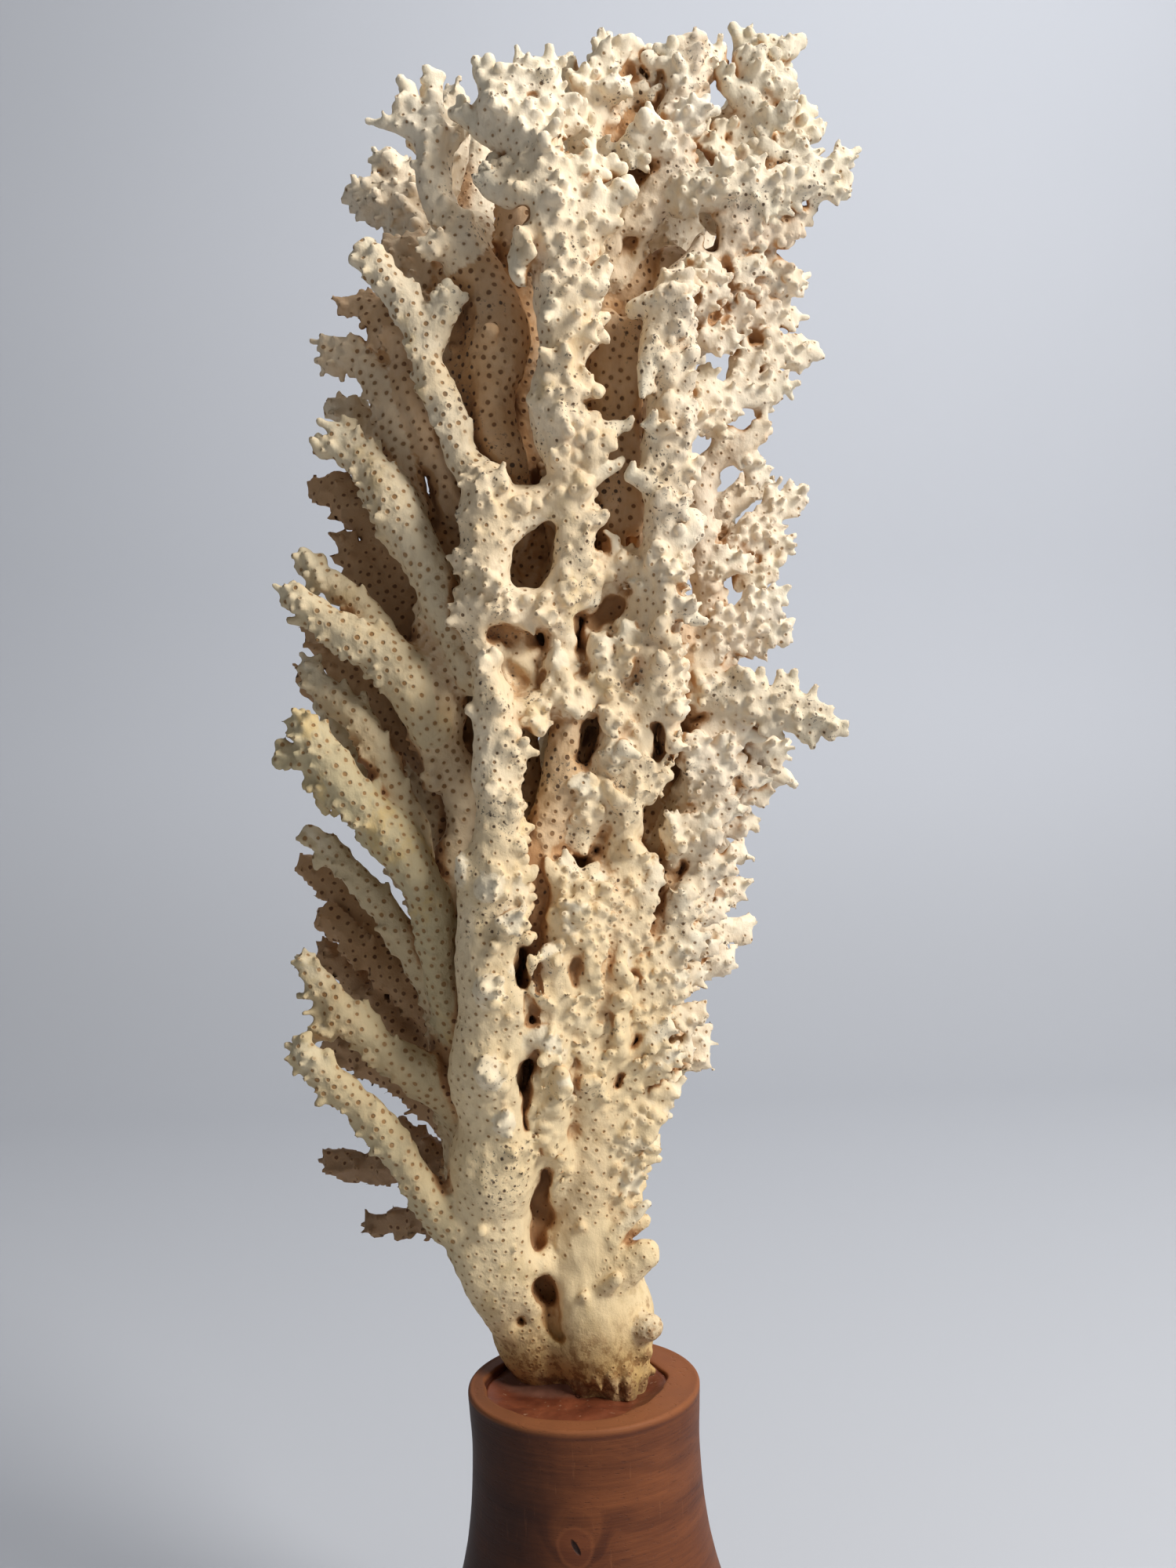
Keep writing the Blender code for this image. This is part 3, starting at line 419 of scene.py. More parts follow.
def seen(x, z, back, radius):
    """A route point by its place in the front view and its distance behind the middle plane."""
    spread = (VIEW_DISTANCE + back) / VIEW_DISTANCE
    return (VIEW_X + (x - VIEW_X) * spread, back, VIEW_HEIGHT + (z - VIEW_HEIGHT) * spread,
            radius * spread)


def waver(line, phase):
    """Bends a limb's line a little and lets its thickness swell, more where it is stout."""
    along = np.arange(len(line)) * ROUTE_STEP
    stout = np.clip(line[:, 3] / 3 - 0.5, 0, 1) * 0.5
    line[:, 0] += stout * np.sin(along / 5.1 + phase)
    line[:, 2] += stout * 0.6 * np.sin(along / 4.3 + 2 * phase)
    line[:, 3] *= 1 + 0.07 * np.sin(along / 3.4 + 3 * phase) * np.minimum(1, along / 6)


def direction(line, at):
    ahead = line[at + 1, :3] - line[at - 1, :3]
    return ahead / np.linalg.norm(ahead)


def knob_at(line, at, side, teeth):
    """A blunt knob on a column, somewhere round the way that its rough side faces."""
    ahead = direction(line, at)
    turn = dice.uniform(-1.5, 1.5)
    out = side * math.cos(turn) + np.cross(ahead, side) * math.sin(turn) + 0.35 * ahead
    out /= np.linalg.norm(out)
    reach = line[at, 3] + teeth * dice.uniform(0.45, 1.2)
    stout = 0.7 + 0.14 * teeth
    return np.array([(*line[at, :3], line[at, 3] * 0.55),
                     (*(line[at, :3] + out * reach * 0.72), stout * dice.uniform(1.2, 2.0)),
                     (*(line[at, :3] + out * reach), stout * dice.uniform(0.8, 1.4))])


def tooth_at(line, at, way, saw):
    """A pointed tooth that leans along its branch, on the lower edge or the upper one."""
    ahead = direction(line, at)
    down = np.cross(ahead, (0, 1, 0))
    down *= -np.sign(down[2]) / np.linalg.norm(down)
    out = way * down + 0.85 * ahead + np.array((0, dice.uniform(-0.8, 0.4), 0))
    out /= np.linalg.norm(out)
    reach = line[at, 3] + saw * dice.uniform(0.55, 1.25)
    return np.array([(*line[at, :3], line[at, 3] * 0.45),
                     (*(line[at, :3] + out * reach * 0.7), dice.uniform(0.85, 1.15)),
                     (*(line[at, :3] + out * reach), dice.uniform(0.4, 0.65))])


def grow(name, routes, tubes=1.4, thick=0.8, side=(0.7, -0.3, -0.2), cover=0.0, teeth=0.0,
         saw=0.0, both=0.3, pore=0.28, tip=4.0, tan=0.0, green=0.0, slot="coral_cream"):
    """One fork of the colony. Tubes stand out by that length where the limb faces the side,
    over more of it as cover grows. The rest carries sunk calices with pores of that radius.
    Teeth are the blunt knobs along a column's edge, and saw the pointed ones along a branch's
    lower edge, both the share of them on its upper edge."""
    if name not in forks:
        forks.append(name)
        mesh = bpy.data.meshes.new(name)
        piece = bpy.data.objects.new(name + "_skin", mesh)
        bpy.context.scene.collection.objects.link(piece)
        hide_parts(name)
        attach(piece, "root")
    side = np.array(side, float) / np.linalg.norm(side)
    habit = {"fork": forks.index(name), "side": side, "tan": tan, "green": green, "pore": pore,
             "thick": thick, "tip": tip}
    knob = {**habit, "tubes": 0.6, "cover": -0.4, "web": KNOB_WEB}
    tooth = {**habit, "tubes": 0.0, "cover": -2.0, "web": KNOB_WEB}
    for route in routes:
        line = smooth_line([seen(*p) for p in route], ROUTE_STEP)
        waver(line, 1.7 * len(limbs))
        web = WEB if line[0, 3] > STOUT_LIMB else KNOB_WEB
        limbs.append({**habit, "line": line, "tubes": tubes, "cover": cover, "web": web})
        if len(line) < 5:
            continue
        # A limb without teeth still has one low swelling near its root.
        for at in range(2, len(line) - 1, 2 if teeth else len(line)):
            if line[at, 3] >= THINNEST_KNOBBED:
                limbs.append({**knob, "line": knob_at(line, at, side, teeth)})
        for at in range(len(line) // 5 + 1, len(line) - 1 if saw else 0):
            for way, share in ((1, 0.72), (-1, both)):
                if dice.random() <= share:
                    limbs.append({**tooth, "line": tooth_at(line, at, way, saw)})


# Foot of the coral: three stems fused into a smooth bulge, with a broken stub on the left, two
# worn knobs on the right, a round hole through the middle and a ragged edge at the filler.
grow("foot", [
    [(-3.6, 82, 15, 5.6), (-4.6, 92, 14.2, 6.2), (-6.4, 99, 12, 7.6), (-9.8, 108, 9, 9.5),
     (-13.2, 117, 5.6, 10.2), (-16.2, 126, 3, 10), (-18, 133, 1, 9.4)],
    [(-15.6, 109, 3, 4.6), (-19.6, 117, -1, 4.6), (-23.6, 125.6, -4, 4), (-25.6, 129.8, -4.8, 3.5)],
    [(-18, 118, 4, 5), (-23.6, 128, 1, 4), (-26.6, 131, 0, 3.2)],
], tubes=0.0, pore=0.24)
grow("foot", [
    [(3.4, 82, 9, 7.8), (3.8, 92, 8.6, 8.4), (4.2, 99, 7.4, 10), (3.4, 107, 7, 11.6),
     (2.4, 115, 7, 11.6), (1.6, 122, 6, 9.4), (1.4, 129, 5, 7.4)],
    [(-2, 82, 13, 5), (-3, 97, 12, 6.4), (-4, 108, 14, 10), (-5, 122, 18, 13), (-6, 133, 18, 14)],
], tubes=0.0, pore=0.0)
grow("foot", [
    [(8, 104, 3, 4.6), (11.4, 105.4, 1.4, 3.8)],
    [(10, 104.6, 0, 2.2), (13.8, 105.6, -2.2, 2.9), (14.6, 105.8, -2.6, 2.7)],
    [(11, 100, 1, 2.2), (13.4, 100.6, -0.6, 1.9)],
    [(8, 118.6, 1, 5), (14, 122, -2, 3.6)],
    [(5, 123, 1, 3.2), (8.4, 127.2, -1, 2.2), (12, 130, -1.6, 1.8), (15, 132.6, -2, 1.3)],
    [(5.2, 115, -3, 2.2), (6.8, 116, -5, 1.7), (8, 116.8, -6.2, 1.4)],
    [(1.5, 112, -2.6, 1.6), (0.6, 113, -5, 1.1)],
    [(10, 128, 3, 3), (14, 129, 2, 1.8)],
    [(7, 101, 0, 3), (9.4, 96, -1.2, 2.1), (10.2, 90, -2, 1)],
    [(4, 99, 0.4, 3.4), (6, 94.6, -0.6, 2.2), (7, 90, -1.6, 1.4)],
    [(-1, 99, 3, 3), (-0.2, 95, 1.4, 2.4), (1, 90, 1, 1.8)],
    [(11, 101, 2, 3), (12, 96, 1.4, 2), (11.6, 91, 1, 1.2)],
    [(-5, 99, 6, 2.4), (-5.6, 95.6, 5.4, 1.4), (-5.4, 91, 5, 0.8)],
    [(1, 99.4, -0.6, 0.9), (0.4, 96.6, -2, 0.7), (0.8, 94.4, -2.6, 0.4)],
    [(3.6, 98, -1.4, 1), (3, 95.2, -3, 0.7), (3.6, 92.8, -3.4, 0.4)],
    [(6.6, 99, -2, 1), (6, 95.4, -3.8, 0.8), (7, 92, -4.2, 0.5)],
    [(9, 98, -2, 1.1), (9.4, 94.6, -3.4, 0.8), (9.2, 90.6, -3.6, 0.5)],
    [(11.6, 97.6, -0.4, 1), (11.8, 94.8, -1.6, 0.7), (11, 92.4, -2, 0.4)],
], tubes=0.0, pore=0.2)
hollows += [
    ([(-8.4, 115.8), (-6.8, 113.6)], 2.2, -20, 5),
    ([(-7.4, 112.6), (-6.6, 109), (-5.2, 105)], 1.7, -20, -0.6),
    ([(-8.8, 119), (-8.9, 122)], 1.0, -20, -5.6),
    ([(-9, 125), (-8.2, 132), (-7, 140)], [2.1, 1.8, 1.1], -24, 1),
    ([(-13.4, 108.4), (-12.8, 107.6)], 0.9, -20, 1.6),
]

# Front columns: the thick left one is smooth and dotted on its left and knobbly on its right,
# with worn stubs, and the two beside it are knobbly all over.
grow("front_column", [
    [(-18.4, 128, 1, 9.6), (-18, 138, -3.4, 9.6), (-17.6, 148, -7.4, 9), (-17.6, 158, -10.6, 8.6),
     (-17.6, 168, -13.4, 8.1), (-17.4, 178, -15.8, 7.7), (-17.2, 188, -18, 7.4), (-17, 198, -19.8, 6.8),
     (-16, 206, -21.2, 6.1), (-14.8, 213, -22.4, 5.5), (-14, 222, -23, 5.1), (-14.4, 234, -24, 4.6),
     (-15, 243, -24.6, 4.4), (-15.4, 249.6, -25, 3.4)],
    [(-17, 178, -17, 3.8), (-17.6, 180.2, -25.6, 2.9)],
    [(-17, 161, -14, 3.6), (-18, 162.4, -22, 2.5)],
    [(-17.8, 202, -20, 4.4), (-21.6, 205, -23, 2.6), (-22.6, 208, -24, 1.6)],
    [(-18, 200, -21, 3.6), (-16.6, 203, -27, 2.4)],
    [(-14.4, 250, -25.6, 3.2), (-12.8, 254.6, -28.4, 2.2)],
    [(-15, 249, -26, 3), (-16.4, 251.4, -29.4, 1.9)],
], tubes=1.0, side=(0.85, -0.3, 0.2), cover=-0.8, teeth=1.7)
grow("front_column", [
    [(-13.4, 141, -6, 3.6), (-12.6, 150, -10.6, 3.7), (-12.4, 160, -14.4, 3.8),
     (-12.6, 170, -17.6, 3.4), (-12, 180, -20, 3.2), (-12, 190, -21.6, 3.4), (-11.6, 199, -22.4, 3),
     (-11, 205, -23, 2.2)],
    [(-13, 167, -15, 3.2), (-9, 169.6, -18, 2.5), (-5.6, 171, -18.6, 1.8)],
    [(-14, 194, -21, 3), (-11.8, 195.2, -26.4, 2)],
    [(-16, 149, -11, 3), (-15.6, 152, -17.4, 2)],
    [(-13, 183, -20, 3), (-9.6, 186.4, -24, 1.8)],
    [(-12, 229, -23.6, 3), (-8.6, 232, -25.4, 1.7)],
    [(-15, 238, -25, 3), (-19.2, 241, -25.4, 1.8)],
], tubes=1.2, side=(0.8, -0.5, 0.3), cover=-0.4, teeth=2.2)
grow("right_stem", [
    [(1, 126, 5, 7.6), (1.2, 134, 3.4, 7), (2.4, 143, 1.6, 7), (3.4, 152, -1, 6.6), (4.2, 162, -4.4, 6),
     (4.4, 172, -7, 5.2), (5.4, 182, -10, 4.8), (8, 190, -12, 4.5), (9.5, 198, -13, 4),
     (6.8, 206, -13.4, 2.2)],
], tubes=0.8, side=(0.9, -0.2, 0.2), cover=-0.8, teeth=1.6, tan=0.3)
grow("right_stem", [
    [(5, 132, 3, 4), (10, 133, 1, 2.5)],
    [(6, 138, 2, 3.6), (12.4, 138.6, 0, 2.2)],
    [(6, 141, 2, 4.4), (11, 143, 0.6, 3), (15, 143.8, -0.4, 2.2)],
    [(8, 146, 0, 4.4), (15.5, 148.3, -2, 2.3)],
    [(8, 151, 0, 5), (14, 151.4, -0.6, 3.4), (18.6, 152.4, -1, 2.1)],
    [(9, 155, 0, 5), (16, 156, -0.6, 3), (21.7, 156.9, -1, 1.8)],
    [(3.4, 163, -5, 4), (8.6, 167, -9, 3.4), (9, 177, -12, 3.4), (10, 184, -13, 3),
     (12, 189, -13, 2.4)],
    [(4, 153, -2, 4), (2.8, 160, -9, 3.4), (2.2, 169, -12.6, 3.2), (2.6, 177, -14.4, 3.2),
     (4.6, 187, -16, 3.2), (5.8, 197, -17, 2.8), (6.2, 203, -17, 2)],
], tubes=1.2, side=(0.7, -0.6, 0.2), cover=-0.4, teeth=2.4)
grow("middle_column", [
    [(-7, 136, 1, 4.6), (-5.6, 143, -3.4, 4.6), (-5.2, 151, -7.6, 4.7), (-4.8, 160, -11, 4.6),
     (-4, 170, -13.6, 4.7), (-3, 180, -15.6, 4.6), (-1.4, 190, -17, 4.5), (0.2, 198, -17.6, 4),
     (0.3, 206.6, -17.6, 2.3)],
    [(-4, 166, -14, 3.4), (-5.6, 168.6, -19.4, 2)],
    [(-2, 184, -17, 3.4), (-4.8, 188, -21.6, 2)],
    [(-1, 193, -18, 3.2), (2.4, 197, -22.4, 1.9)],
    [(-4.6, 157, -10.6, 3.2), (-1.6, 160, -16.4, 2)],
    [(0, 201, -18, 3), (-3.4, 205.6, -20, 1.6)],
], tubes=1.2, side=(0.5, -0.8, 0.1), cover=-0.4, teeth=2.5)


def inner_stem(name, routes, tan):
    """A smooth tan limb, dotted with wide sunk calices and free of tubes."""
    grow(name, routes, tubes=0.0, pore=0.42, tan=tan, slot="coral_tan")


inner_stem("inner_slanted_stem", [
    [(-12, 178, -11, 4.6), (-10.8, 184, -12.4, 4.4), (-9.2, 191, -13.2, 4.4), (-7.6, 200, -14.2, 4.4),
     (-5.8, 209, -15, 4.6), (-3, 217, -15.8, 4.6), (-0.4, 226, -16.6, 4.4), (1.5, 236, -17, 4.6)],
], tan=0.75)
hollows += [
    ([(-10.8, 181.6), (-10.2, 188.4)], 1.2, -40, -11),
    ([(-10.6, 158.6), (-10.2, 163.6)], 1.1, -40, -8),
    ([(-10.9, 150), (-10.6, 157)], 1.0, -40, -12.6),
    ([(-9.9, 167), (-9.4, 179)], 1.0, -40, -20.4),
    ([(-0.6, 145), (-1.2, 149)], 0.9, -40, -8),
    ([(-0.2, 160), (0.3, 165)], 0.9, -40, -14),
    ([(0.6, 181), (1.6, 186)], 0.8, -40, -17.6),
    ([(7.6, 169), (8.4, 174)], 0.9, -40, -13.6),
]

# Inner stems: smooth tan limbs, dotted with sunk calices, that stand in the shade behind the
# columns and carry the side branches.
grow("left_inner_stem", [
    [(-15, 128, 10, 9), (-17, 138, 8, 9), (-20, 150, 6, 9), (-22, 162, 4, 8.8), (-22.8, 174, 2.4, 8.2),
     (-23.3, 186, 1, 7.6), (-23.6, 198, -0.6, 6.8), (-23.2, 208, -2.4, 5.2), (-22.2, 215, -3.6, 3.8),
     (-22.2, 221, -4.6, 3.6), (-23.4, 227.6, -5.6, 4.4), (-26, 234, -6.8, 5.7), (-27, 241, -7.6, 6.3),
     (-27.4, 249, -8, 6.2), (-26.2, 257, -7.6, 5.9), (-24, 264, -7, 5.6)],
    [(-24, 204, 4, 6), (-26, 213, 5, 5.6), (-27.6, 224, 5, 5.4), (-28, 240, 5, 6)],
    [(-24, 227, -6, 3), (-28, 225.6, -9, 2)],
    [(-24.6, 231, -7, 3), (-28.2, 229.4, -10.4, 1.7)],
], tubes=0.7, side=(-0.9, 0, -0.4), cover=-0.9, pore=0.42, tan=0.35)
inner_stem("middle_inner_stem", [
    [(-3, 134, 16, 10), (-1, 152, 12, 9.4), (1, 172, 8, 9), (3, 192, 5, 8.6), (6, 212, 3, 8.4),
     (7, 234, 1, 8.2), (6, 256, 0, 8), (6, 276, -1, 7.6), (8, 296, -2, 7.2), (10, 318, -3, 7),
     (12, 340, -4, 6.4)],
    [(4, 240, -2, 6), (-5, 252, -6, 6), (-10, 264, -6, 5.4)],
    [(3, 202, -2, 5), (6, 216, -7, 5), (9, 230, -9, 5), (11, 246, -9.6, 5), (11, 262, -9.6, 5)],
    [(17, 316, -4, 4.4), (18, 330, -5, 4.8), (17, 342, -6, 4.8), (20, 356, -8, 4.8),
     (19.6, 366, -8, 4.4)],
    [(-6, 188, 0, 5.6), (-8, 204, -1, 6), (-10, 220, -2, 6), (-11, 236, -4, 5.6), (-11, 252, -6, 5.6)],
], tan=0.9)
inner_stem("right_inner_stem", [
    [(6, 140, 14, 7), (11, 160, 10, 7), (15, 182, 7, 6.6), (19, 204, 5, 6.6), (20, 226, 3, 6.4),
     (20.5, 250, 2, 5.6), (21, 270, 0, 5), (22, 292, -1, 5), (24, 314, -2, 5.4), (28, 334, -3, 5.6)],
    [(19, 232, -2, 4.6), (26.5, 243, -6, 4), (27, 256, -8, 3.4)],
], tan=0.75)

# Right side, low: a leaning stem with a fringe of bright knobbly twigs, and paler ones behind
# it that stand further off.
grow("right_low_stem", [
    [(8, 155, 0, 5.4), (11, 162, -2, 5.8), (13.4, 170, -3.6, 6), (15.5, 178, -5, 6),
     (18.5, 188, -6, 5.8), (23, 197, -6, 5), (26.4, 202, -6, 4.2), (28.4, 205.6, -6, 3.2)],
    [(14, 171, 0, 3), (21, 173.5, 2, 2.2), (28, 173.2, 4, 1.4)],
    [(17, 182, 0, 3), (23.2, 182, 0.4, 2.2), (27.9, 182.3, 1, 1.5)],
    [(24, 194, -3, 3), (29, 195.4, -2, 2.2), (32.7, 196.8, -1, 1.5)],
    [(24, 198, -2, 3), (31, 199, 1, 2.3), (37.6, 200.5, 3, 1.4)],
    [(15, 177, -4, 3.4), (20.4, 178.6, -7, 2.2), (23.2, 181.6, -8, 1.5)],
    [(13, 168, -4, 3.4), (17.4, 168.6, -8, 2.3), (20.6, 170.6, -9, 1.6)],
    [(18, 187, -6, 3.4), (23.8, 187.6, -9, 2.2), (27, 190, -10, 1.5)],
    [(20, 192, -6, 3.4), (24, 196, -10.6, 2.4), (25.6, 200, -12, 1.6)],
    [(12, 163, -3, 3.4), (18, 163.6, -6, 2.2), (21.4, 165, -7, 1.5)],
    [(25, 200, -6, 3), (31, 205, -8, 2.2), (35.6, 206.4, -8, 1.4)],
], tubes=1.3, thick=0.72, side=(0.8, -0.3, -0.3), cover=0.1, teeth=1.4, saw=2.4, both=0.7)
grow("right_low_stem", [
    [(8, 178, -9, 3.2), (11, 185.6, -11.4, 3), (14, 192, -12.8, 2.9), (16.4, 199, -13.4, 2.8),
     (19.4, 204.4, -13.4, 2)],
], tubes=0.6, cover=-0.6, tan=0.25)
grow("right_low_twigs", [
    [(10, 156, 12, 5), (16, 168, 15, 4.6), (21, 180, 18, 4.2), (26, 192, 20, 3.4), (31, 200, 21, 2)],
    [(13, 160, 12, 3.2), (21, 163, 12, 2.2), (28.2, 164.6, 12, 1.4)],
    [(19, 178, 17, 3), (28, 183, 18, 2.2), (35, 185.5, 18, 1.4)],
    [(24, 187, 20, 2.8), (31, 191, 22, 2.2), (38.6, 191.8, 23, 1.4)],
    [(11, 155, 8, 3), (22, 158.8, 7, 1.5)],
    [(16, 169, 14, 3), (23, 169.6, 13, 2.2), (28.7, 167.8, 12, 1.4)],
    [(20, 180, 16, 3), (25, 186, 12, 2.2), (30, 188.6, 10, 1.4)],
    [(14, 164, 12, 3), (20.6, 166.4, 7, 2), (24.6, 166.4, 4, 1.4)],
], tubes=1.3, thick=0.7, side=(0.8, -0.2, -0.4), cover=0.2, saw=2.6, both=0.7)
hollows += [
    ([(17.4, 211.6), (18.6, 217.6)], 1.5, -40, -8),
    ([(24.4, 203.6), (25.4, 205.8)], 0.9, -40, -6),
    ([(13.2, 166.8), (13.8, 168.6)], 0.8, -40, -6),
    ([(9.6, 158.8), (10, 160.8)], 0.7, -40, -5),
]

# Middle band: the front columns run on upward, tied by rough bars and by a heavy ring with a
# dark opening, all worn, with grey specks in their pores.
grow("right_column", [
    [(9.6, 194, -9.6, 4.4), (11, 202, -11, 4.8), (13, 211, -12.8, 5.1), (14.8, 220, -14.2, 5.4),
     (17, 229, -15, 5.6), (19.6, 238, -15.8, 5.6), (21.4, 247, -17, 5.2), (22.2, 256, -18.2, 5),
     (22.8, 266, -19.2, 5), (23.8, 276, -19.8, 4.9), (24.6, 286, -20.6, 4.8), (25, 296, -21.6, 5),
     (24.8, 306, -22, 4.8), (25, 315, -22.4, 4.9), (26.8, 323, -23, 5.1), (28.2, 331, -23, 4)],
    [(23, 319.6, -25, 2.8), (21.6, 315, -27.6, 2.2), (20.8, 309.4, -28, 1.6)],
    [(26, 312, -24, 3.4), (31.5, 317, -26, 1.8)],
    [(22, 262, -20, 3.4), (26.4, 261.4, -22, 2.6), (29.4, 259, -22, 1.6)],
    [(24, 274, -21, 3.2), (28, 276, -22, 2.2), (30.4, 279, -22, 1.5)],
    [(23, 286, -22, 3.2), (19.6, 289.4, -24.6, 2), (17.2, 290.4, -25, 1.5)],
    [(21, 242, -18, 3.4), (27, 238.6, -20, 2)],
    [(24, 291, -22, 3.2), (30.2, 291.4, -23, 1.7)],
    [(24, 300, -22.4, 3.2), (28.8, 305.4, -25, 1.8)],
    [(20, 233, -17, 3.4), (24.4, 231.4, -20, 1.8)],
    [(19, 326.6, -23, 2.2), (23, 328, -25, 2.4), (27.6, 328.8, -25.6, 2)],
    [(22, 250, -19, 3.2), (17.6, 253.6, -21.4, 1.7)],
    [(23, 281, -21.4, 3), (27.4, 283.4, -24.4, 1.7)],
    [(22.6, 269, -20.4, 3), (25.6, 269.6, -25, 1.7)],
    [(24.6, 297, -23, 3), (21.6, 301.6, -27, 1.6)],
], tubes=1.2, side=(0.8, -0.6, 0.2), cover=-0.5, teeth=3.0)
grow("lower_bar", [
    [(-13, 239, -22, 3.4), (-8, 240.6, -20.6, 3.6), (-2, 242, -19, 3.7), (4, 242.8, -18, 4),
     (11, 243.4, -17, 4.2), (18, 242, -16, 4.2)],
    [(0, 242, -18.6, 3), (-0.5, 248, -20.4, 2.2), (-0.5, 252, -20.6, 1.7)],
    [(10, 243, -18, 3), (9.8, 249.6, -20.6, 2.3), (9.6, 254.6, -21.4, 1.7)],
    [(13, 244, -17, 3), (14.4, 252, -20, 2.3), (14.8, 258.2, -21.6, 1.7)],
    [(5, 243, -19, 3), (3.8, 239.4, -23.6, 1.7)],
    [(12, 241, -18, 3.2), (10.4, 236.6, -21.4, 2)],
    [(-6, 240, -21, 3), (-4.6, 236.4, -24.4, 1.7)],
    [(8, 224, -14, 4), (11.6, 232, -16, 4), (13.6, 240, -17, 4)],
    [(3, 212, -13, 4), (6, 220, -15, 4.2), (9, 228, -15.6, 4)],
    [(-4, 246, -14, 4.4), (-9, 252, -14, 4.8), (-10, 258, -15, 4.4)],
    [(-9, 243, -17, 4), (-9.6, 249, -17, 4.2)],
    [(2, 250, -13.6, 4), (8, 258, -14, 4.6), (12, 264, -14, 4.4)],
    [(9, 246, -15, 4.2), (14, 254, -15.4, 4.4), (17.6, 262, -16, 4)],
    [(2, 246, -16, 3.6), (0.4, 254, -17, 3.6), (0.8, 260, -17, 3.8)],
    [(9, 250, -18, 2.8), (8.4, 256, -19.4, 2.6)],
    [(7, 221, -16, 3), (3.8, 224.6, -20.6, 1.8)],
    [(10, 229, -17, 3), (13.6, 231.6, -21.6, 1.8)],
], tubes=1.0, side=(0.3, -0.9, 0.2), cover=-0.5, teeth=1.2)
grow("upper_column", [
    [(3, 260, -16.6, 4.8), (3.8, 268, -18.6, 4.6), (4.2, 276, -20, 4.6), (3.6, 284, -21.2, 4.6),
     (2.6, 292, -22, 4.6), (1.6, 301, -23, 5), (2.2, 310, -24, 5.9), (3.2, 318, -24.6, 5.6),
     (4, 327, -25.2, 6.4), (3.4, 337, -26.6, 6.6), (2, 347, -27.8, 6.6), (0.2, 356, -28, 6),
     (-2.6, 364, -28, 4.8), (-7.4, 371.6, -27, 3.8), (-12.2, 379.4, -26, 2)],
    [(4, 288, -22, 3.4), (9, 291.4, -23.4, 2.4), (13.8, 292.8, -24, 1.5)],
    [(3, 299, -23, 3.6), (10, 300, -24, 2.6), (16.2, 301.2, -24, 1.5)],
    [(5, 309, -24, 3.2), (10.6, 309.4, -26, 1.6)],
    [(-0.4, 359, -26.6, 4.8), (1.6, 369, -25, 4), (2.4, 379.6, -24, 2.2)],
    [(-6, 365, -26.4, 3.8), (-12, 367, -24.4, 3.2), (-18.2, 370.2, -21.6, 1.7)],
    [(-6, 367, -26.6, 3.4), (-7.9, 377.4, -25.4, 1.8)],
    [(6, 341, -27, 4.6), (11, 346.6, -27.6, 3.8), (16.4, 351.6, -27.6, 2.4), (18.6, 354, -27, 1.4)],
    [(5, 329, -26, 4), (10.6, 332.6, -27.6, 2.6), (13.6, 335.6, -28, 1.6)],
    [(2, 350, -28, 4.4), (8, 356.8, -27.8, 3), (10.6, 360, -27, 1.6)],
    [(-3, 351, -28, 4.2), (-9.6, 353.6, -27, 3.2), (-13.6, 357, -26, 2)],
    [(-2, 344, -27.4, 4), (-5.6, 338, -29, 2.6), (-6, 334, -29.4, 1.8)],
    [(-2, 371, -25.6, 3), (-3.6, 381, -24.6, 1.7)],
    [(3.4, 330, -27, 3.6), (0.6, 325.6, -30.6, 2)],
    [(2, 305, -24.6, 3.2), (-3.2, 307.6, -26, 1.7)],
    [(3.6, 319, -26, 3.2), (8.6, 321.6, -28.6, 1.7)],
    [(3, 313, -25.6, 3), (0.4, 317, -30, 1.7)],
    [(3.8, 280, -21.6, 3), (8.2, 281.6, -24, 1.8)],
], tubes=1.2, thick=0.9, side=(0.5, -0.8, 0.3), cover=-0.5, teeth=3.2)
grow("ring", [
    [(-15.6, 256, -19.6, 5), (-15.6, 263, -20, 5.8), (-14.8, 271, -20.6, 6), (-13.8, 279, -21, 6),
     (-14, 286, -22, 5.8), (-14.2, 289.4, -22.4, 4.6)],
    [(-15, 263, -19.6, 5.4), (-9, 262.4, -20, 5.4), (-3, 262.6, -19.2, 5), (4, 265.6, -18, 4.4)],
    [(-12, 283, -21, 5), (-8, 284.6, -21.2, 4.6), (-3, 285, -21.2, 4), (3, 286, -21, 3.6)],
    [(2, 284, -21, 4), (1.8, 276, -20.2, 3.8), (1.6, 268, -19.2, 4)],
    [(-12, 276, -21, 4), (-7.8, 280.4, -21, 3.8), (-3.4, 283, -21, 3)],
    [(3, 271, -19.6, 4), (-0.4, 267.4, -19.6, 3.4)],
    [(-16, 272, -21, 3.6), (-20.4, 273.4, -22, 2.3)],
    [(-6.5, 261.6, -20.6, 2.8), (-6.2, 255.6, -22, 1.6)],
    [(-18, 263, -20.6, 3.6), (-21.2, 260.6, -21.4, 2)],
    [(-14, 288, -23, 3.6), (-11.4, 290.4, -26.6, 2)],
    [(-15, 287, -23, 3.2), (-17.8, 290.4, -25.4, 1.8)],
    [(-9, 262, -21, 3), (-11, 258.4, -25, 1.8)],
    [(-2, 263, -20, 3), (-2, 259.6, -24.4, 1.7)],
    [(-14.6, 268, -22, 3), (-13.6, 268.6, -26.6, 1.8)],
], tubes=1.0, side=(-0.1, -0.9, 0.2), cover=-0.8, teeth=1.6)
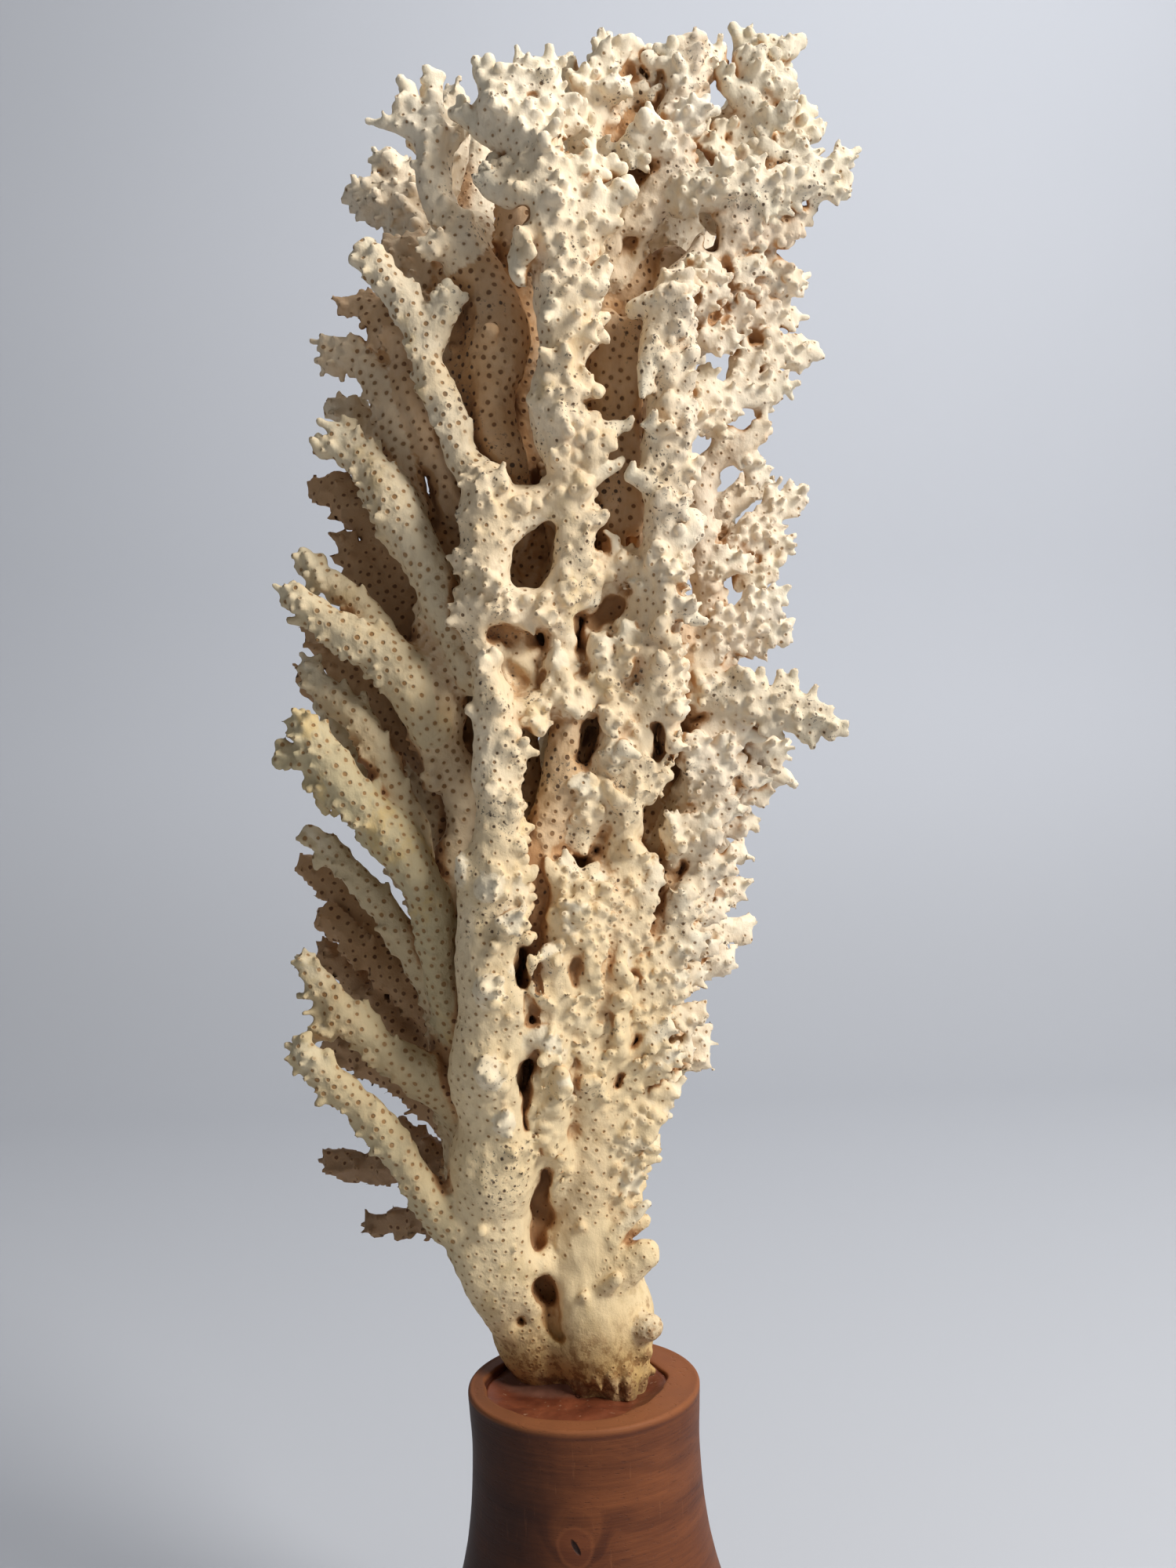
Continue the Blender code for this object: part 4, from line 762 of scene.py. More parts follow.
grow("upper_bar", [
    [(3, 265.6, -16.4, 3.6), (10, 269.8, -16.6, 3.6), (17, 271, -16.6, 3.5), (24, 268, -16.4, 3)],
    [(12, 270, -16.6, 2.8), (13, 276.5, -19, 1.6)],
    [(7, 268, -16.4, 3), (7.8, 262.4, -19.4, 1.7)],
    [(17, 271, -17, 2.8), (18.6, 266, -20.4, 1.6)],
], tubes=1.0, side=(0.1, -0.8, 0.5), cover=-0.3, teeth=1.3)
inner_stem("inner_slot_stem", [
    [(12.5, 272, -12, 3.6), (12.2, 286, -12.6, 3.3), (12.4, 300, -13, 3.2), (12.8, 324, -14, 3.2)],
    [(16.4, 280, -11, 3), (17, 300, -12, 3), (17.6, 322, -13, 3.2)],
], tan=0.9)
hollows += [
    ([(4.5, 230), (6.2, 235.6)], 1.4, -40, -9),
    ([(4.5, 253.4), (4.9, 259.8)], 1.1, -40, -12),
    ([(-14, 257.4), (-10, 255.6), (-6, 253.6)], [1.9, 2.6, 2.2], -40, -20.6),
    ([(-10.6, 249.6), (-8, 246)], 2.2, -40, -19.8),
    ([(8.6, 259.4), (12.8, 262.6)], 2.5, -40, -16.6),
    ([(20.6, 230), (21, 236)], 1.1, -40, -12),
    ([(28.6, 237.3), (31, 237.6)], 1.2, -40, -9),
    ([(-5.6, 271), (-4.5, 274), (-1.9, 279)], [4.1, 4.1, 1.9], -40, -10),
]

# Left fan: branches that reach out and up to the left, smooth and dotted above, toothed like a
# saw below and at their tips. The nearer ones are bright, those behind stand in the shade.
LEFT_HABIT = {"tubes": 1.4, "thick": 0.72, "pore": 0.42, "tip": 9.0, "side": (-0.5, 0.1, -0.85),
              "cover": -0.5, "saw": 2.2}


def left_branch(name, routes, **own):
    grow(name, routes, **{**LEFT_HABIT, **own})


# The tan and green of the first two branches darken them in part as painted shade, low on the left.
left_branch("left_branch_1", [
    [(-15, 109, 3, 4), (-20.4, 117, 0, 3.8), (-26, 126, -3, 3.6), (-30.6, 133.6, -6, 3.9),
     (-34, 139.5, -7.6, 3.8), (-37.5, 144.5, -9, 3.7), (-42, 150.2, -10.8, 3.7), (-47, 157, -12, 3.4),
     (-52.5, 162.6, -13.8, 3.1), (-58.4, 168.2, -15, 2.1)],
    [(-50, 160, -13, 3), (-53, 158.2, -13, 1.2)],
    [(-56, 166, -14.6, 2.2), (-60, 166.2, -15, 1)],
    [(-57, 167, -14.8, 2), (-58, 171, -15, 1)],
], tubes=1.25, saw=2.0, tan=0.25, green=0.7)
# Painted shade: tan 1.35 colours these twigs behind the fan dark grey-brown.
grow("left_low_twigs", [
    [(-16, 134, 12, 6), (-25, 139, 14, 4), (-31, 143, 16, 3.2), (-41, 142.5, 20, 2.6),
     (-53.6, 144.2, 24, 1.5)],
    [(-24, 138, 14, 3), (-33, 131.5, 20, 2.5), (-45, 130.5, 24, 1.5)],
    [(-20, 131, 10, 4), (-25.4, 136, 9, 2.6), (-30, 139, 10, 2)],
    [(-29, 142, 15, 3), (-33.6, 148, 17, 2.2), (-38, 151, 19, 1.4)],
], tubes=1.4, thick=0.72, pore=0.36, tip=9.0, side=(-0.3, 0.1, -0.9), cover=0.8, saw=2.2, both=0.7,
   tan=1.35)
left_branch("left_branch_2", [
    [(-21, 148, 1, 4.8), (-25, 154.6, -1.4, 4.8), (-28.6, 159.4, -3, 4.6), (-32.7, 162.8, -4.6, 4.4),
     (-37.4, 166, -6, 3.9), (-42.4, 169.4, -7.6, 3.3), (-46.6, 174, -8.4, 3.1), (-50.7, 178.4, -9, 2.9),
     (-53.6, 183, -9.4, 2.4), (-57.3, 188.6, -10, 1.5)],
    [(-49, 176, -9, 2.6), (-54.8, 171.8, -9, 1.2)],
    [(-54, 183, -9.4, 2.2), (-56.8, 180.2, -9.4, 1)],
    [(-52, 180, -9, 2.2), (-55.4, 177, -9.4, 1)],
], tan=0.25, green=0.6)


def shaded_branch(name, routes, tan):
    """A thin toothed branch behind the others, coloured darker as painted shade."""
    grow(name, routes, tubes=1.5, thick=0.72, pore=0.4, tip=9.0, side=(-0.4, 0.2, -0.85), cover=-0.2,
         saw=2.6, both=0.7, tan=tan)


shaded_branch("left_shaded_branch_1", [
    [(-22, 150, 8, 5), (-35, 160, 13, 3), (-45, 166, 18, 2.6), (-52, 171, 22, 1.6)],
    [(-24, 162, 8, 5), (-30, 166.6, 10, 4), (-34.6, 171, 13, 3.2), (-42, 178.8, 18, 2.6),
     (-45.8, 183, 20, 2.2), (-53, 190, 24, 1.5)],
    [(-23, 156, 7, 5), (-31, 163.6, 9, 3.4), (-38.7, 174, 13, 2.4), (-43, 180, 15, 1.6)],
], tan=1.25)
shaded_branch("left_shaded_branch_2", [
    [(-24, 170, 10, 5), (-33, 180, 14, 3.6), (-38.3, 188, 17, 2.9), (-43.2, 195.4, 20, 2.6),
     (-47.4, 200, 22, 2.4), (-56.2, 209, 26, 1.4)],
    [(-33, 182, 16, 3), (-40, 196.8, 22, 2.4), (-45.6, 203.6, 25, 2), (-49.3, 208, 28, 1.4)],
    [(-24, 168, 6, 5), (-32.7, 178, 9, 3.5), (-36.8, 183, 11, 3.2), (-41, 187, 13, 2.8),
     (-46.8, 192, 15, 2.4), (-53, 197.4, 17, 1.5)],
], tan=1.2)
left_branch("left_branch_3", [
    [(-25, 164, 2, 4.2), (-26.4, 172, 1, 3.8), (-28.4, 179.6, 0, 3.4), (-31.4, 185.4, -1, 3.1),
     (-34, 189.6, -1.6, 3), (-36.4, 193.4, -2, 3), (-39.6, 198.4, -2, 2.9), (-42, 202, -2, 2.8),
     (-46.3, 206.8, -1.6, 2.6), (-50.4, 211.8, -1, 2.1), (-55, 216, -1, 1.4)],
    [(-49, 210.4, -1, 2.2), (-53.6, 209.4, -1, 1)],
], green=0.3, tan=0.2)
left_branch("left_branch_4", [
    [(-24.6, 172, -4, 4), (-26.8, 180, -6, 3.8), (-28.6, 189, -8, 3.8), (-30, 199, -10.6, 4.5),
     (-32.6, 206, -12, 5), (-35.4, 211.6, -13, 5.2), (-38, 215.4, -13.6, 4.6), (-41, 218.6, -14, 4.3),
     (-44.8, 222.9, -14.6, 4.2), (-48.5, 227, -15, 4.3), (-51.4, 231.6, -15.6, 4.3),
     (-53.6, 235.4, -16, 3.6), (-55.6, 239.8, -16, 2.2)],
    [(-52, 232, -15.4, 3.2), (-57, 232.6, -15, 1.9), (-61.4, 233.3, -14, 0.9)],
    [(-48, 224, -14.4, 3), (-52.4, 222, -14, 1.2)],
    [(-50, 228, -15, 2.8), (-54.4, 227, -15, 1.1)],
    [(-54, 236, -16, 2.4), (-57, 238.6, -15.6, 1.1)],
], tubes=1.3, side=(-0.6, 0.1, -0.8), green=1.0, tan=0.1)
left_branch("left_branch_5", [
    [(-33, 210, -9, 4), (-34.6, 219, -9, 3.8), (-37.3, 227.4, -9, 3.6), (-40.6, 234.8, -9, 3.4),
     (-43.8, 239.8, -9, 3.2), (-47, 243, -8.6, 2.9), (-51.3, 247.6, -8, 2.3), (-54, 252, -8, 1.5)],
    [(-38, 220, -4, 3), (-41.6, 228, -2, 2.7), (-45.3, 234, 0, 2.3), (-51, 244, 4, 1.5)],
    [(-47, 243, -8.6, 2.4), (-51, 243.4, -8, 1.1)],
], green=0.3, tan=0.2)
left_branch("left_branch_6", [
    [(-28, 238, -10, 5), (-31.2, 243.4, -11, 5), (-33.8, 248.4, -12, 5.2), (-36.8, 252.8, -13, 5.2),
     (-40.7, 256.2, -13.8, 4.4), (-44.9, 258.2, -14, 3.7), (-49.6, 260.8, -14, 3.2),
     (-54, 265, -14, 2.5), (-58.2, 268, -14, 1.6)],
    [(-36, 252, -11, 4.4), (-39.4, 259.6, -9.6, 3.2), (-42.6, 264.6, -8.8, 2.9),
     (-46.6, 268.4, -8, 2.6), (-50.5, 271.2, -7.4, 2.2), (-54.2, 274.8, -7, 1.5)],
    [(-52, 263, -14, 2.4), (-55.6, 261.4, -14, 1.1)],
    [(-49, 270, -7.6, 2.2), (-53, 269.6, -7.6, 1.1)],
], tubes=1.3, side=(-0.6, 0.1, -0.8), saw=2.0, green=0.7, tan=0.2)
shaded_branch("left_shaded_branch_3", [
    [(-27, 230, 0, 4.4), (-31, 233.6, 1, 3.9), (-35, 237.6, 2, 3.4), (-40.2, 245, 3, 3),
     (-46, 250, 4.4, 2.5), (-51.5, 254.6, 6, 1.6)],
    [(-34, 240, 8, 3.4), (-36.6, 248, 9, 2.9), (-40, 251.4, 10, 2.5), (-44.6, 254, 12, 2.2),
     (-53, 258.4, 14, 1.4)],
    [(-28, 222, 8, 4.6), (-38, 230, 14, 3.4), (-46, 240, 20, 2.6), (-55, 250, 24, 1.5)],
    [(-32, 226, 10, 3), (-40, 226, 15, 2.2), (-46.4, 228.4, 18, 1.4)],
], tan=1.15)
left_branch("left_branch_7", [
    [(-18, 249, -12, 5), (-21.4, 257, -12.6, 4.8), (-24.6, 264, -13, 4.5), (-26.6, 270, -13, 4.6),
     (-29.6, 275.8, -13, 4.9), (-32.3, 281.2, -13, 5.1), (-34.4, 286.8, -13, 5.1),
     (-36.4, 290.6, -12.6, 4.4), (-38.9, 294.2, -12, 3.7), (-42.2, 298.4, -11.6, 2.9),
     (-47, 303, -11, 1.5)],
    [(-40, 295, -12, 2.8), (-45, 297.4, -11.4, 1.9), (-49.3, 299.8, -11, 1.1)],
    [(-43, 299, -11.6, 2.4), (-43.6, 303.4, -11, 1.3)],
], tubes=1.3, side=(-0.6, 0.1, -0.8), saw=2.0, green=0.5, tan=0.15)
shaded_branch("left_shaded_branch_4", [
    [(-29, 250, 0, 5), (-33, 257, 1, 4.2), (-36, 262, 2, 3.6), (-40, 270, 4, 3), (-43, 274.6, 5, 2.4),
     (-46, 278.5, 6, 1.5)],
    [(-30, 258, 2, 4), (-33.5, 265.6, 4, 3.8), (-35.4, 272, 6, 3.5), (-37.4, 278.4, 7.4, 3.1),
     (-41, 283.4, 9, 2.8), (-44, 287, 10.4, 2.3), (-47, 292.5, 12, 1.5)],
    [(-42, 285, 9, 2.6), (-47, 288, 12, 2), (-51.8, 290, 14, 1.3)],
    [(-28, 262, 3, 4.4), (-31.4, 274, 5, 4), (-33, 288, 7, 3.4), (-37, 297, 10, 2.6),
     (-43, 303, 14, 1.5)],
], tan=1.2)
left_branch("left_branch_8", [
    [(-31.6, 284, -8, 4.6), (-32.4, 291, -7, 4), (-33, 299, -5.6, 3.5), (-34.2, 306, -4, 3.3),
     (-36, 311.4, -3, 3.1), (-38.4, 316, -2, 2.8), (-42, 319.2, -1.2, 2.4), (-48, 322.2, 0, 1.4)],
    [(-36, 300, 2, 2.8), (-40, 305, 3.6, 2.3), (-47.7, 308, 6, 1.4)],
    [(-41, 318, -1.4, 2.3), (-48, 317, 0, 1.2)],
    [(-39, 316.4, -2, 2.2), (-41, 321.6, -2, 1.2)],
], side=(-0.6, 0.1, -0.8), cover=-0.4, saw=2.4, both=0.5, tan=0.5, green=0.1)
left_branch("left_branch_9", [
    [(-14, 288, -20, 4), (-17, 292.4, -20, 3.8), (-19.9, 296.4, -20, 3.6), (-21.2, 301, -20, 3.5),
     (-22.6, 306, -20, 3.5), (-24.6, 312.4, -20, 3.4), (-26.4, 319, -20, 3.3), (-27.8, 324, -20, 3.3),
     (-29.8, 328.6, -20, 3.2), (-32.4, 332.6, -20, 3), (-35.4, 336.2, -20, 2.7),
     (-41, 339.6, -19, 1.4)],
    [(-25.4, 321, -20, 3.2), (-22.8, 326, -20.4, 2.9), (-20.3, 330, -20.6, 2.3)],
    [(-34, 334.6, -20, 2.6), (-36.4, 339, -20, 1.9), (-38.4, 343, -20, 1.3)],
], tubes=1.1, side=(-0.8, 0.1, -0.6), saw=1.8, green=0.2)
left_branch("left_inner_upper_stem", [
    [(-23, 262, 2, 6), (-22, 284, 0, 5.6), (-22, 302, 0, 5.2), (-22, 320, 0, 5), (-22, 338, 0, 5)],
    [(-21.6, 284, -6, 4), (-23.2, 292, -7, 3.8), (-26.5, 298, -7, 3.6), (-28.4, 304.6, -6, 3.4),
     (-30.6, 312, -5, 3.2), (-33, 322, -4, 3.1), (-36.7, 322.4, -4, 2.2)],
    [(-32, 320, -4, 3), (-35.5, 326, -3, 2.9), (-39.3, 328.8, -1.6, 2.3), (-43.5, 330, 0, 1.4)],
    [(-18, 300, -10, 4), (-18, 312, -11, 4), (-18.4, 326, -11, 3.8), (-19, 334, -11, 3.4)],
    [(-10, 250, -6, 6), (-9, 262, -4, 6), (-7, 276, -3, 6), (-5.6, 290, -3.6, 5.4), (-5, 302, -4, 5),
     (-4.6, 314, -6, 5.4), (-4.4, 328, -8, 5.6), (-4.4, 342, -10, 5.6), (-5, 352, -12, 5)],
    [(1, 262, -8, 3.4), (0.6, 276, -9, 3.2), (1, 290, -10, 3.4)],
], tubes=1.2, side=(-0.5, 0.1, -0.8), saw=1.8, tan=0.9)
left_branch("left_branch_10", [
    [(-20.4, 332, -6, 4), (-24.3, 337.2, -7.4, 3.6), (-28.5, 341.4, -8, 3.2), (-33.6, 341.2, -8, 2.1)],
    [(-22, 329, -6, 3.4), (-25.6, 332.8, -8, 2.8), (-31, 337.4, -8, 1.8)],
], side=(-0.6, 0, -0.7), cover=0.0, both=0.6, tan=0.7, slot="coral_tan")
inner_stem("brown_stem", [
    [(-8.3, 284, -11, 3.6), (-9, 290, -12, 4), (-10.6, 296, -12.8, 5.2), (-12, 302, -13, 5.6),
     (-12.3, 309, -13.6, 5.4), (-11.6, 317, -14.6, 6), (-11.3, 325, -15, 6.9), (-13, 331.6, -15, 6.2),
     (-15.4, 336.8, -15.6, 5), (-18, 341.5, -16, 4.2)],
    [(-12.4, 321.6, -18, 3.4), (-12.4, 323, -23, 1.8)],
], tan=1.0)

# Upper left: an antler-like fork with blunt prongs at the front and a toothed clump behind it.
grow("antler", [
    [(-17, 338, -16.4, 4.8), (-19.4, 344.6, -17.6, 4.1), (-22.2, 350, -18, 3.7), (-23, 357, -18, 3.6),
     (-23.4, 364, -18, 3.5), (-28, 367.4, -18, 2.7), (-34.2, 368.8, -18, 1.5)],
    [(-23.6, 363, -18, 3.2), (-26.2, 369.6, -18, 2.4), (-28.7, 376, -18, 1.5)],
    [(-23.4, 364, -18, 3), (-22.8, 371, -17.4, 2.3), (-22.5, 378, -17, 1.5)],
    [(-20, 342, -18, 3.4), (-24.2, 341.4, -21, 2.6)],
    [(-23.2, 361, -18, 2.8), (-18.6, 365.4, -17, 1.8)],
    [(-28, 367.2, -18, 2), (-31, 372, -18, 1.3)],
], tubes=1.1, side=(-0.4, -0.3, 0.8), cover=-0.3, teeth=1.4, pore=0.32, tan=0.15)
grow("left_top_clump", [
    [(-22, 340, 6, 5), (-26, 348, 8, 4.6), (-33, 352, 9, 4), (-39.4, 353.4, 10, 2.2)],
    [(-27, 350, 8, 4), (-30.5, 358, 8, 2.8), (-35.6, 361, 8, 1.5)],
    [(-24, 348, 12, 4.4), (-20, 362, 12, 4), (-18, 374, 10, 2)],
    [(-33, 352, 9, 3), (-38, 349.4, 9, 1.6)],
    [(-30, 352, 8, 3), (-32, 346, 8, 2)],
    [(-20, 360, 11, 3.4), (-27, 364, 12, 1.8)],
], tubes=1.5, thick=0.8, side=(-0.6, -0.2, 0.2), cover=0.6, teeth=1.6, tan=0.3)

# Right side, middle and upper: short bushy twigs set close together, knobbly all over, with
# gaps of sky between them and a few long tips.
grow("right_fringe_low", [
    [(20, 204, 0, 6), (26, 213, -2, 5.6), (30, 223, -4, 5.4), (32, 234, -6, 5.4), (33, 246, -7, 4.8),
     (31, 255, -6, 3.4)],
    [(28, 214, -1, 3.2), (34.6, 214, 0, 2.4), (40, 214.6, 1, 1.5)],
    [(30, 220, -3, 3.2), (37, 220.4, -2, 2.5), (43.6, 221, -1, 1.6)],
    [(31, 225, -4, 3.2), (40, 227, -2, 2.4), (48, 224.6, 0, 1.4)],
    [(33, 231, -5, 3), (40, 230.4, -3.4, 2.4), (46.9, 230, -2, 1.5)],
    [(25, 208, 4, 3), (31, 208.6, 7, 2.3), (38, 208, 10, 1.4)],
    [(25, 208, -4, 4), (29, 211, -9, 3), (30.6, 215, -11, 2)],
    [(27, 214, -5, 4), (33, 217.6, -8.4, 2.6), (37.4, 217.4, -9, 1.6)],
    [(29, 221, -6, 4), (33.6, 226, -10, 2.8), (35.4, 230.6, -11, 1.8)],
    [(22, 206, -4, 4), (24, 210, -9.6, 3), (23.6, 215, -11.6, 2)],
    [(30, 224, -7, 3.6), (28, 229.6, -12, 2.4), (29.4, 233, -13, 1.7)],
    [(31, 227, -6, 3), (38, 225, -7, 2.2), (42.4, 223.6, -7, 1.4)],
    [(32, 238, -8, 3.4), (36, 234.6, -10, 2.3), (41, 233.4, -10, 1.5)],
], tubes=1.5, thick=0.72, side=(0.8, -0.5, 0), cover=0.1, teeth=1.8, saw=2.4, both=0.7)
grow("right_branch_1", [
    [(31, 243.4, -9, 4.8), (34.6, 242.6, -10, 4.4), (38.6, 241.2, -11, 3.8), (42.9, 240.2, -11.6, 3.3),
     (47.9, 238.4, -12.4, 2.9), (53, 236.8, -13, 2.5), (58.7, 235.2, -14, 1.4)],
    [(40, 241, -11, 3), (43.4, 244.6, -12, 1.6)],
    [(46, 239, -12, 2.8), (49, 242.4, -12, 1.8), (50.4, 244.4, -12, 1.2)],
    [(52, 237.2, -12.8, 2.3), (54.6, 240.4, -13, 1.2)],
    [(49, 238, -12.4, 2.4), (53.2, 232.6, -13, 1.2)],
    [(44, 239.6, -12, 2.8), (46, 235, -12.6, 1.5)],
    [(38, 241, -11, 3.4), (40.4, 246, -13.4, 1.8)],
], tubes=1.3, thick=0.75, side=(0.5, -0.5, 0.3), cover=0.15, saw=2.4, both=0.7, green=0.35)
grow("right_branch_2", [
    [(30.6, 250.4, -7, 4.2), (33.8, 252.4, -7.6, 3.9), (38.4, 256.2, -8, 3.4), (42.8, 260.5, -9, 2.7),
     (48, 263.4, -10, 1.7)],
    [(36, 253.6, -7, 3), (40.4, 253.2, -7, 2.2), (44.4, 252.8, -7, 1.4)],
    [(40, 257.6, -8, 2.8), (45, 256.4, -8, 2), (49.4, 255.4, -8, 1.3)],
    [(43, 260.6, -9, 2.3), (47.6, 259.6, -9, 1.3)],
    [(41, 259, -9, 2.4), (41.6, 263.8, -10, 1.4)],
    [(35, 254, -8, 3), (35.4, 259, -10, 1.8)],
], tubes=1.3, thick=0.75, side=(0.6, -0.4, 0.2), cover=0.1, teeth=1.2, saw=2.6, both=0.7)
grow("right_branch_3", [
    [(32.4, 253, -2, 3.6), (32.8, 260, -2.6, 3.2), (32.2, 270, -3, 3), (32.2, 280, -3.8, 2.9),
     (31.8, 287, -4.4, 2.9), (34, 292.4, -5, 2.9), (39.4, 295.2, -6, 2.7), (42.9, 297.6, -6.6, 2.2),
     (45.4, 300, -7, 1.5)],
], tubes=0.9, side=(0.9, 0.1, 0.3), cover=-0.6, teeth=1.0, tan=0.35)
grow("right_branch_3", [
    [(33, 270, -1, 2.8), (38, 274, 0, 2.7), (44, 277.5, 1, 2.6), (48, 281, 2, 2.1),
     (52.6, 285, 3, 1.4)],
    [(32, 268, -3, 2.8), (36, 270.6, -4.4, 2.6), (39.4, 271.4, -5, 2.1)],
    [(43, 278, 1, 2.4), (47, 275.8, 1.6, 1.9), (50, 274, 2, 1.2)],
    [(42, 276.6, 1, 2.4), (45.4, 271.6, 1, 1.5), (47, 269.4, 1, 1.1)],
    [(38, 273, 0, 2.6), (41.6, 268, 0, 1.9), (44.4, 265.4, 0, 1.3)],
    [(39, 295, -6, 2.2), (43.4, 291.6, -5, 1.7), (46, 289.3, -4, 1.2)],
    [(47, 281, 2, 2), (47, 286.4, 2, 1.3)],
    [(35, 293, -5.4, 2.4), (38.6, 299, -7, 1.5)],
    [(33, 276, 6, 3), (39, 284.6, 8, 2.6), (45, 288, 9, 1.6)],
], tubes=1.4, thick=0.7, side=(0.8, -0.3, 0), cover=0.15, saw=2.6, both=0.75)
grow("right_branch_4", [
    [(25, 303.5, -16, 4), (29, 302, -14.4, 3.4), (33, 302.4, -13, 3), (36.6, 304.6, -11.6, 2.9),
     (40.6, 307.2, -10, 2.7), (44.4, 308, -9.4, 2.3), (51.4, 308.6, -8, 1.4)],
    [(40, 308, -9, 2.4), (42.4, 314, -8, 2.4), (47.7, 315.4, -7, 2.1), (53, 315.8, -6, 1.7),
     (57.4, 317, -5, 1.2)],
    [(41, 307, -9, 2.4), (46.6, 305, -8, 1.5)],
    [(52, 315.7, -6, 1.7), (55, 313.4, -6, 1)],
    [(47, 315.2, -7, 2), (49.6, 318.8, -7, 1.2)],
    [(45, 308, -9.2, 2), (47.4, 311, -9, 1.2)],
    [(35, 304, -12, 2.6), (36.4, 299, -12, 1.6)],
    [(28, 306, -14, 3.4), (33, 308.4, -13, 2.8), (34.4, 311.4, -13, 1.8)],
], tubes=1.3, thick=0.7, side=(0.6, -0.4, 0), cover=0.15, saw=2.6, both=0.75, green=0.15)
grow("right_branch_5", [
    [(27, 320, -10, 5), (31, 321.8, -9.6, 4.6), (35, 323, -9, 4.2), (43, 322.6, -7, 3.2),
     (48, 323.2, -6, 2.4), (53.4, 324, -5, 1.4)],
    [(34, 324, -9, 3.8), (38.6, 328.4, -8.6, 3.6), (43, 330.4, -8, 3.2), (49, 330.6, -7.6, 2.5),
     (54.4, 331.4, -7, 1.5)],
    [(37, 323, -5, 3), (44, 321, -1.6, 2.3), (50, 318.6, 2, 1.3)],
    [(32, 322, -11, 3.6), (36, 319, -15, 2.3), (40, 318.6, -16, 1.5)],
    [(30, 323, -12, 3.8), (33, 328, -17, 2.8), (36.6, 331.6, -18, 1.8)],
    [(38, 328, -10, 3), (42.6, 334.6, -13, 2), (46.6, 336, -13, 1.4)],
    [(34, 326, -12, 3.4), (34.4, 333, -17, 2.4), (32.4, 337, -19, 1.6)],
    [(40, 323, -8, 3), (42, 327, -12, 1.8)],
    [(31, 331, -17, 3), (36, 335.4, -19, 1.7)],
], tubes=1.5, thick=0.72, side=(0.6, -0.6, 0), cover=0.1, teeth=1.8, saw=2.4, both=0.75)
grow("right_branch_6", [
    [(28, 329, -15, 5), (36, 338, -13, 4.8), (41, 343, -13.6, 4.8), (44.6, 346.6, -14.4, 4.6),
     (46.6, 351.5, -15, 4)],
    [(39, 338.6, -10, 3.8), (44, 340.2, -10.6, 3.6), (50, 342.4, -11.4, 3.2), (55, 345.2, -12, 2.5)],
    [(42, 337, -9, 3), (48.4, 334.8, -9, 2.6), (53, 332.4, -9, 1.9)],
], tubes=1.0, side=(0.6, -0.3, -0.6), cover=-0.4, teeth=1.2, tan=0.45, slot="coral_tan")
grow("right_branch_7", [
    [(30, 350, -15, 4), (36, 351.6, -16.6, 3.8), (42, 352, -17.2, 3.6), (48, 351.8, -17, 3.3),
     (53, 352, -16, 2.9), (58, 353, -15, 2.6), (62.4, 355.6, -14, 1.9), (66.4, 357.8, -13, 1.2)],
    [(57, 352.6, -15, 2.4), (62, 350.6, -14, 1.7), (65.6, 349.6, -13, 1.1)],
    [(53, 352, -15.6, 2.6), (56.6, 356.6, -14.6, 1.6), (58.6, 358.6, -14, 1.1)],
    [(44, 352, -17.2, 3), (48, 347.6, -18, 1.8), (50, 346.4, -18, 1.2)],
    [(49, 351.8, -17, 2.6), (51.6, 347.4, -16, 1.5)],
    [(38, 351.6, -17, 3.2), (40, 356.6, -20, 1.9)],
    [(45, 352, -17.4, 2.8), (46.4, 357, -19, 1.6)],
    [(60, 354, -14.4, 1.9), (60.6, 350.4, -14.6, 1.1)],
], tubes=1.3, thick=0.75, side=(0.4, -0.5, -0.3), cover=0.1, saw=2.6, both=0.75, green=0.25)
grow("right_top_stem", [
    [(14.5, 335, -9, 4.8), (17, 341, -10.6, 4.8), (20, 346, -12, 4.8), (24, 351, -13.4, 4.6),
     (27.6, 355.6, -14, 4.4), (28.8, 361, -14.2, 4.2), (29.4, 366.6, -14, 4.2), (32, 373, -13, 4),
     (32.6, 383, -13, 2.3)],
], tubes=0.8, side=(0.8, -0.4, 0.3), cover=-0.5, teeth=1.2, tan=0.4)
grow("right_top_stem", [
    [(27, 360, -15, 3.4), (23.4, 363, -17.6, 3), (20, 364.6, -19, 2.2)],
    [(31, 371, -12, 3.4), (26.6, 375.6, -10, 2.6), (22.4, 379.2, -8, 1.8)],
    [(32, 373, -12, 3.2), (36.4, 377.6, -11, 2.4), (39.6, 382.4, -10, 1.5)],
    [(30, 366, -16, 3.2), (34.6, 369, -19, 2)],
    [(31.6, 374, -14, 3), (29, 381.6, -14, 1.6)],
    [(26, 362, -18, 2.8), (24.6, 367, -21, 1.7)],
], tubes=1.2, thick=0.8, side=(0.4, -0.5, 0.5), cover=-0.1, teeth=3.4)
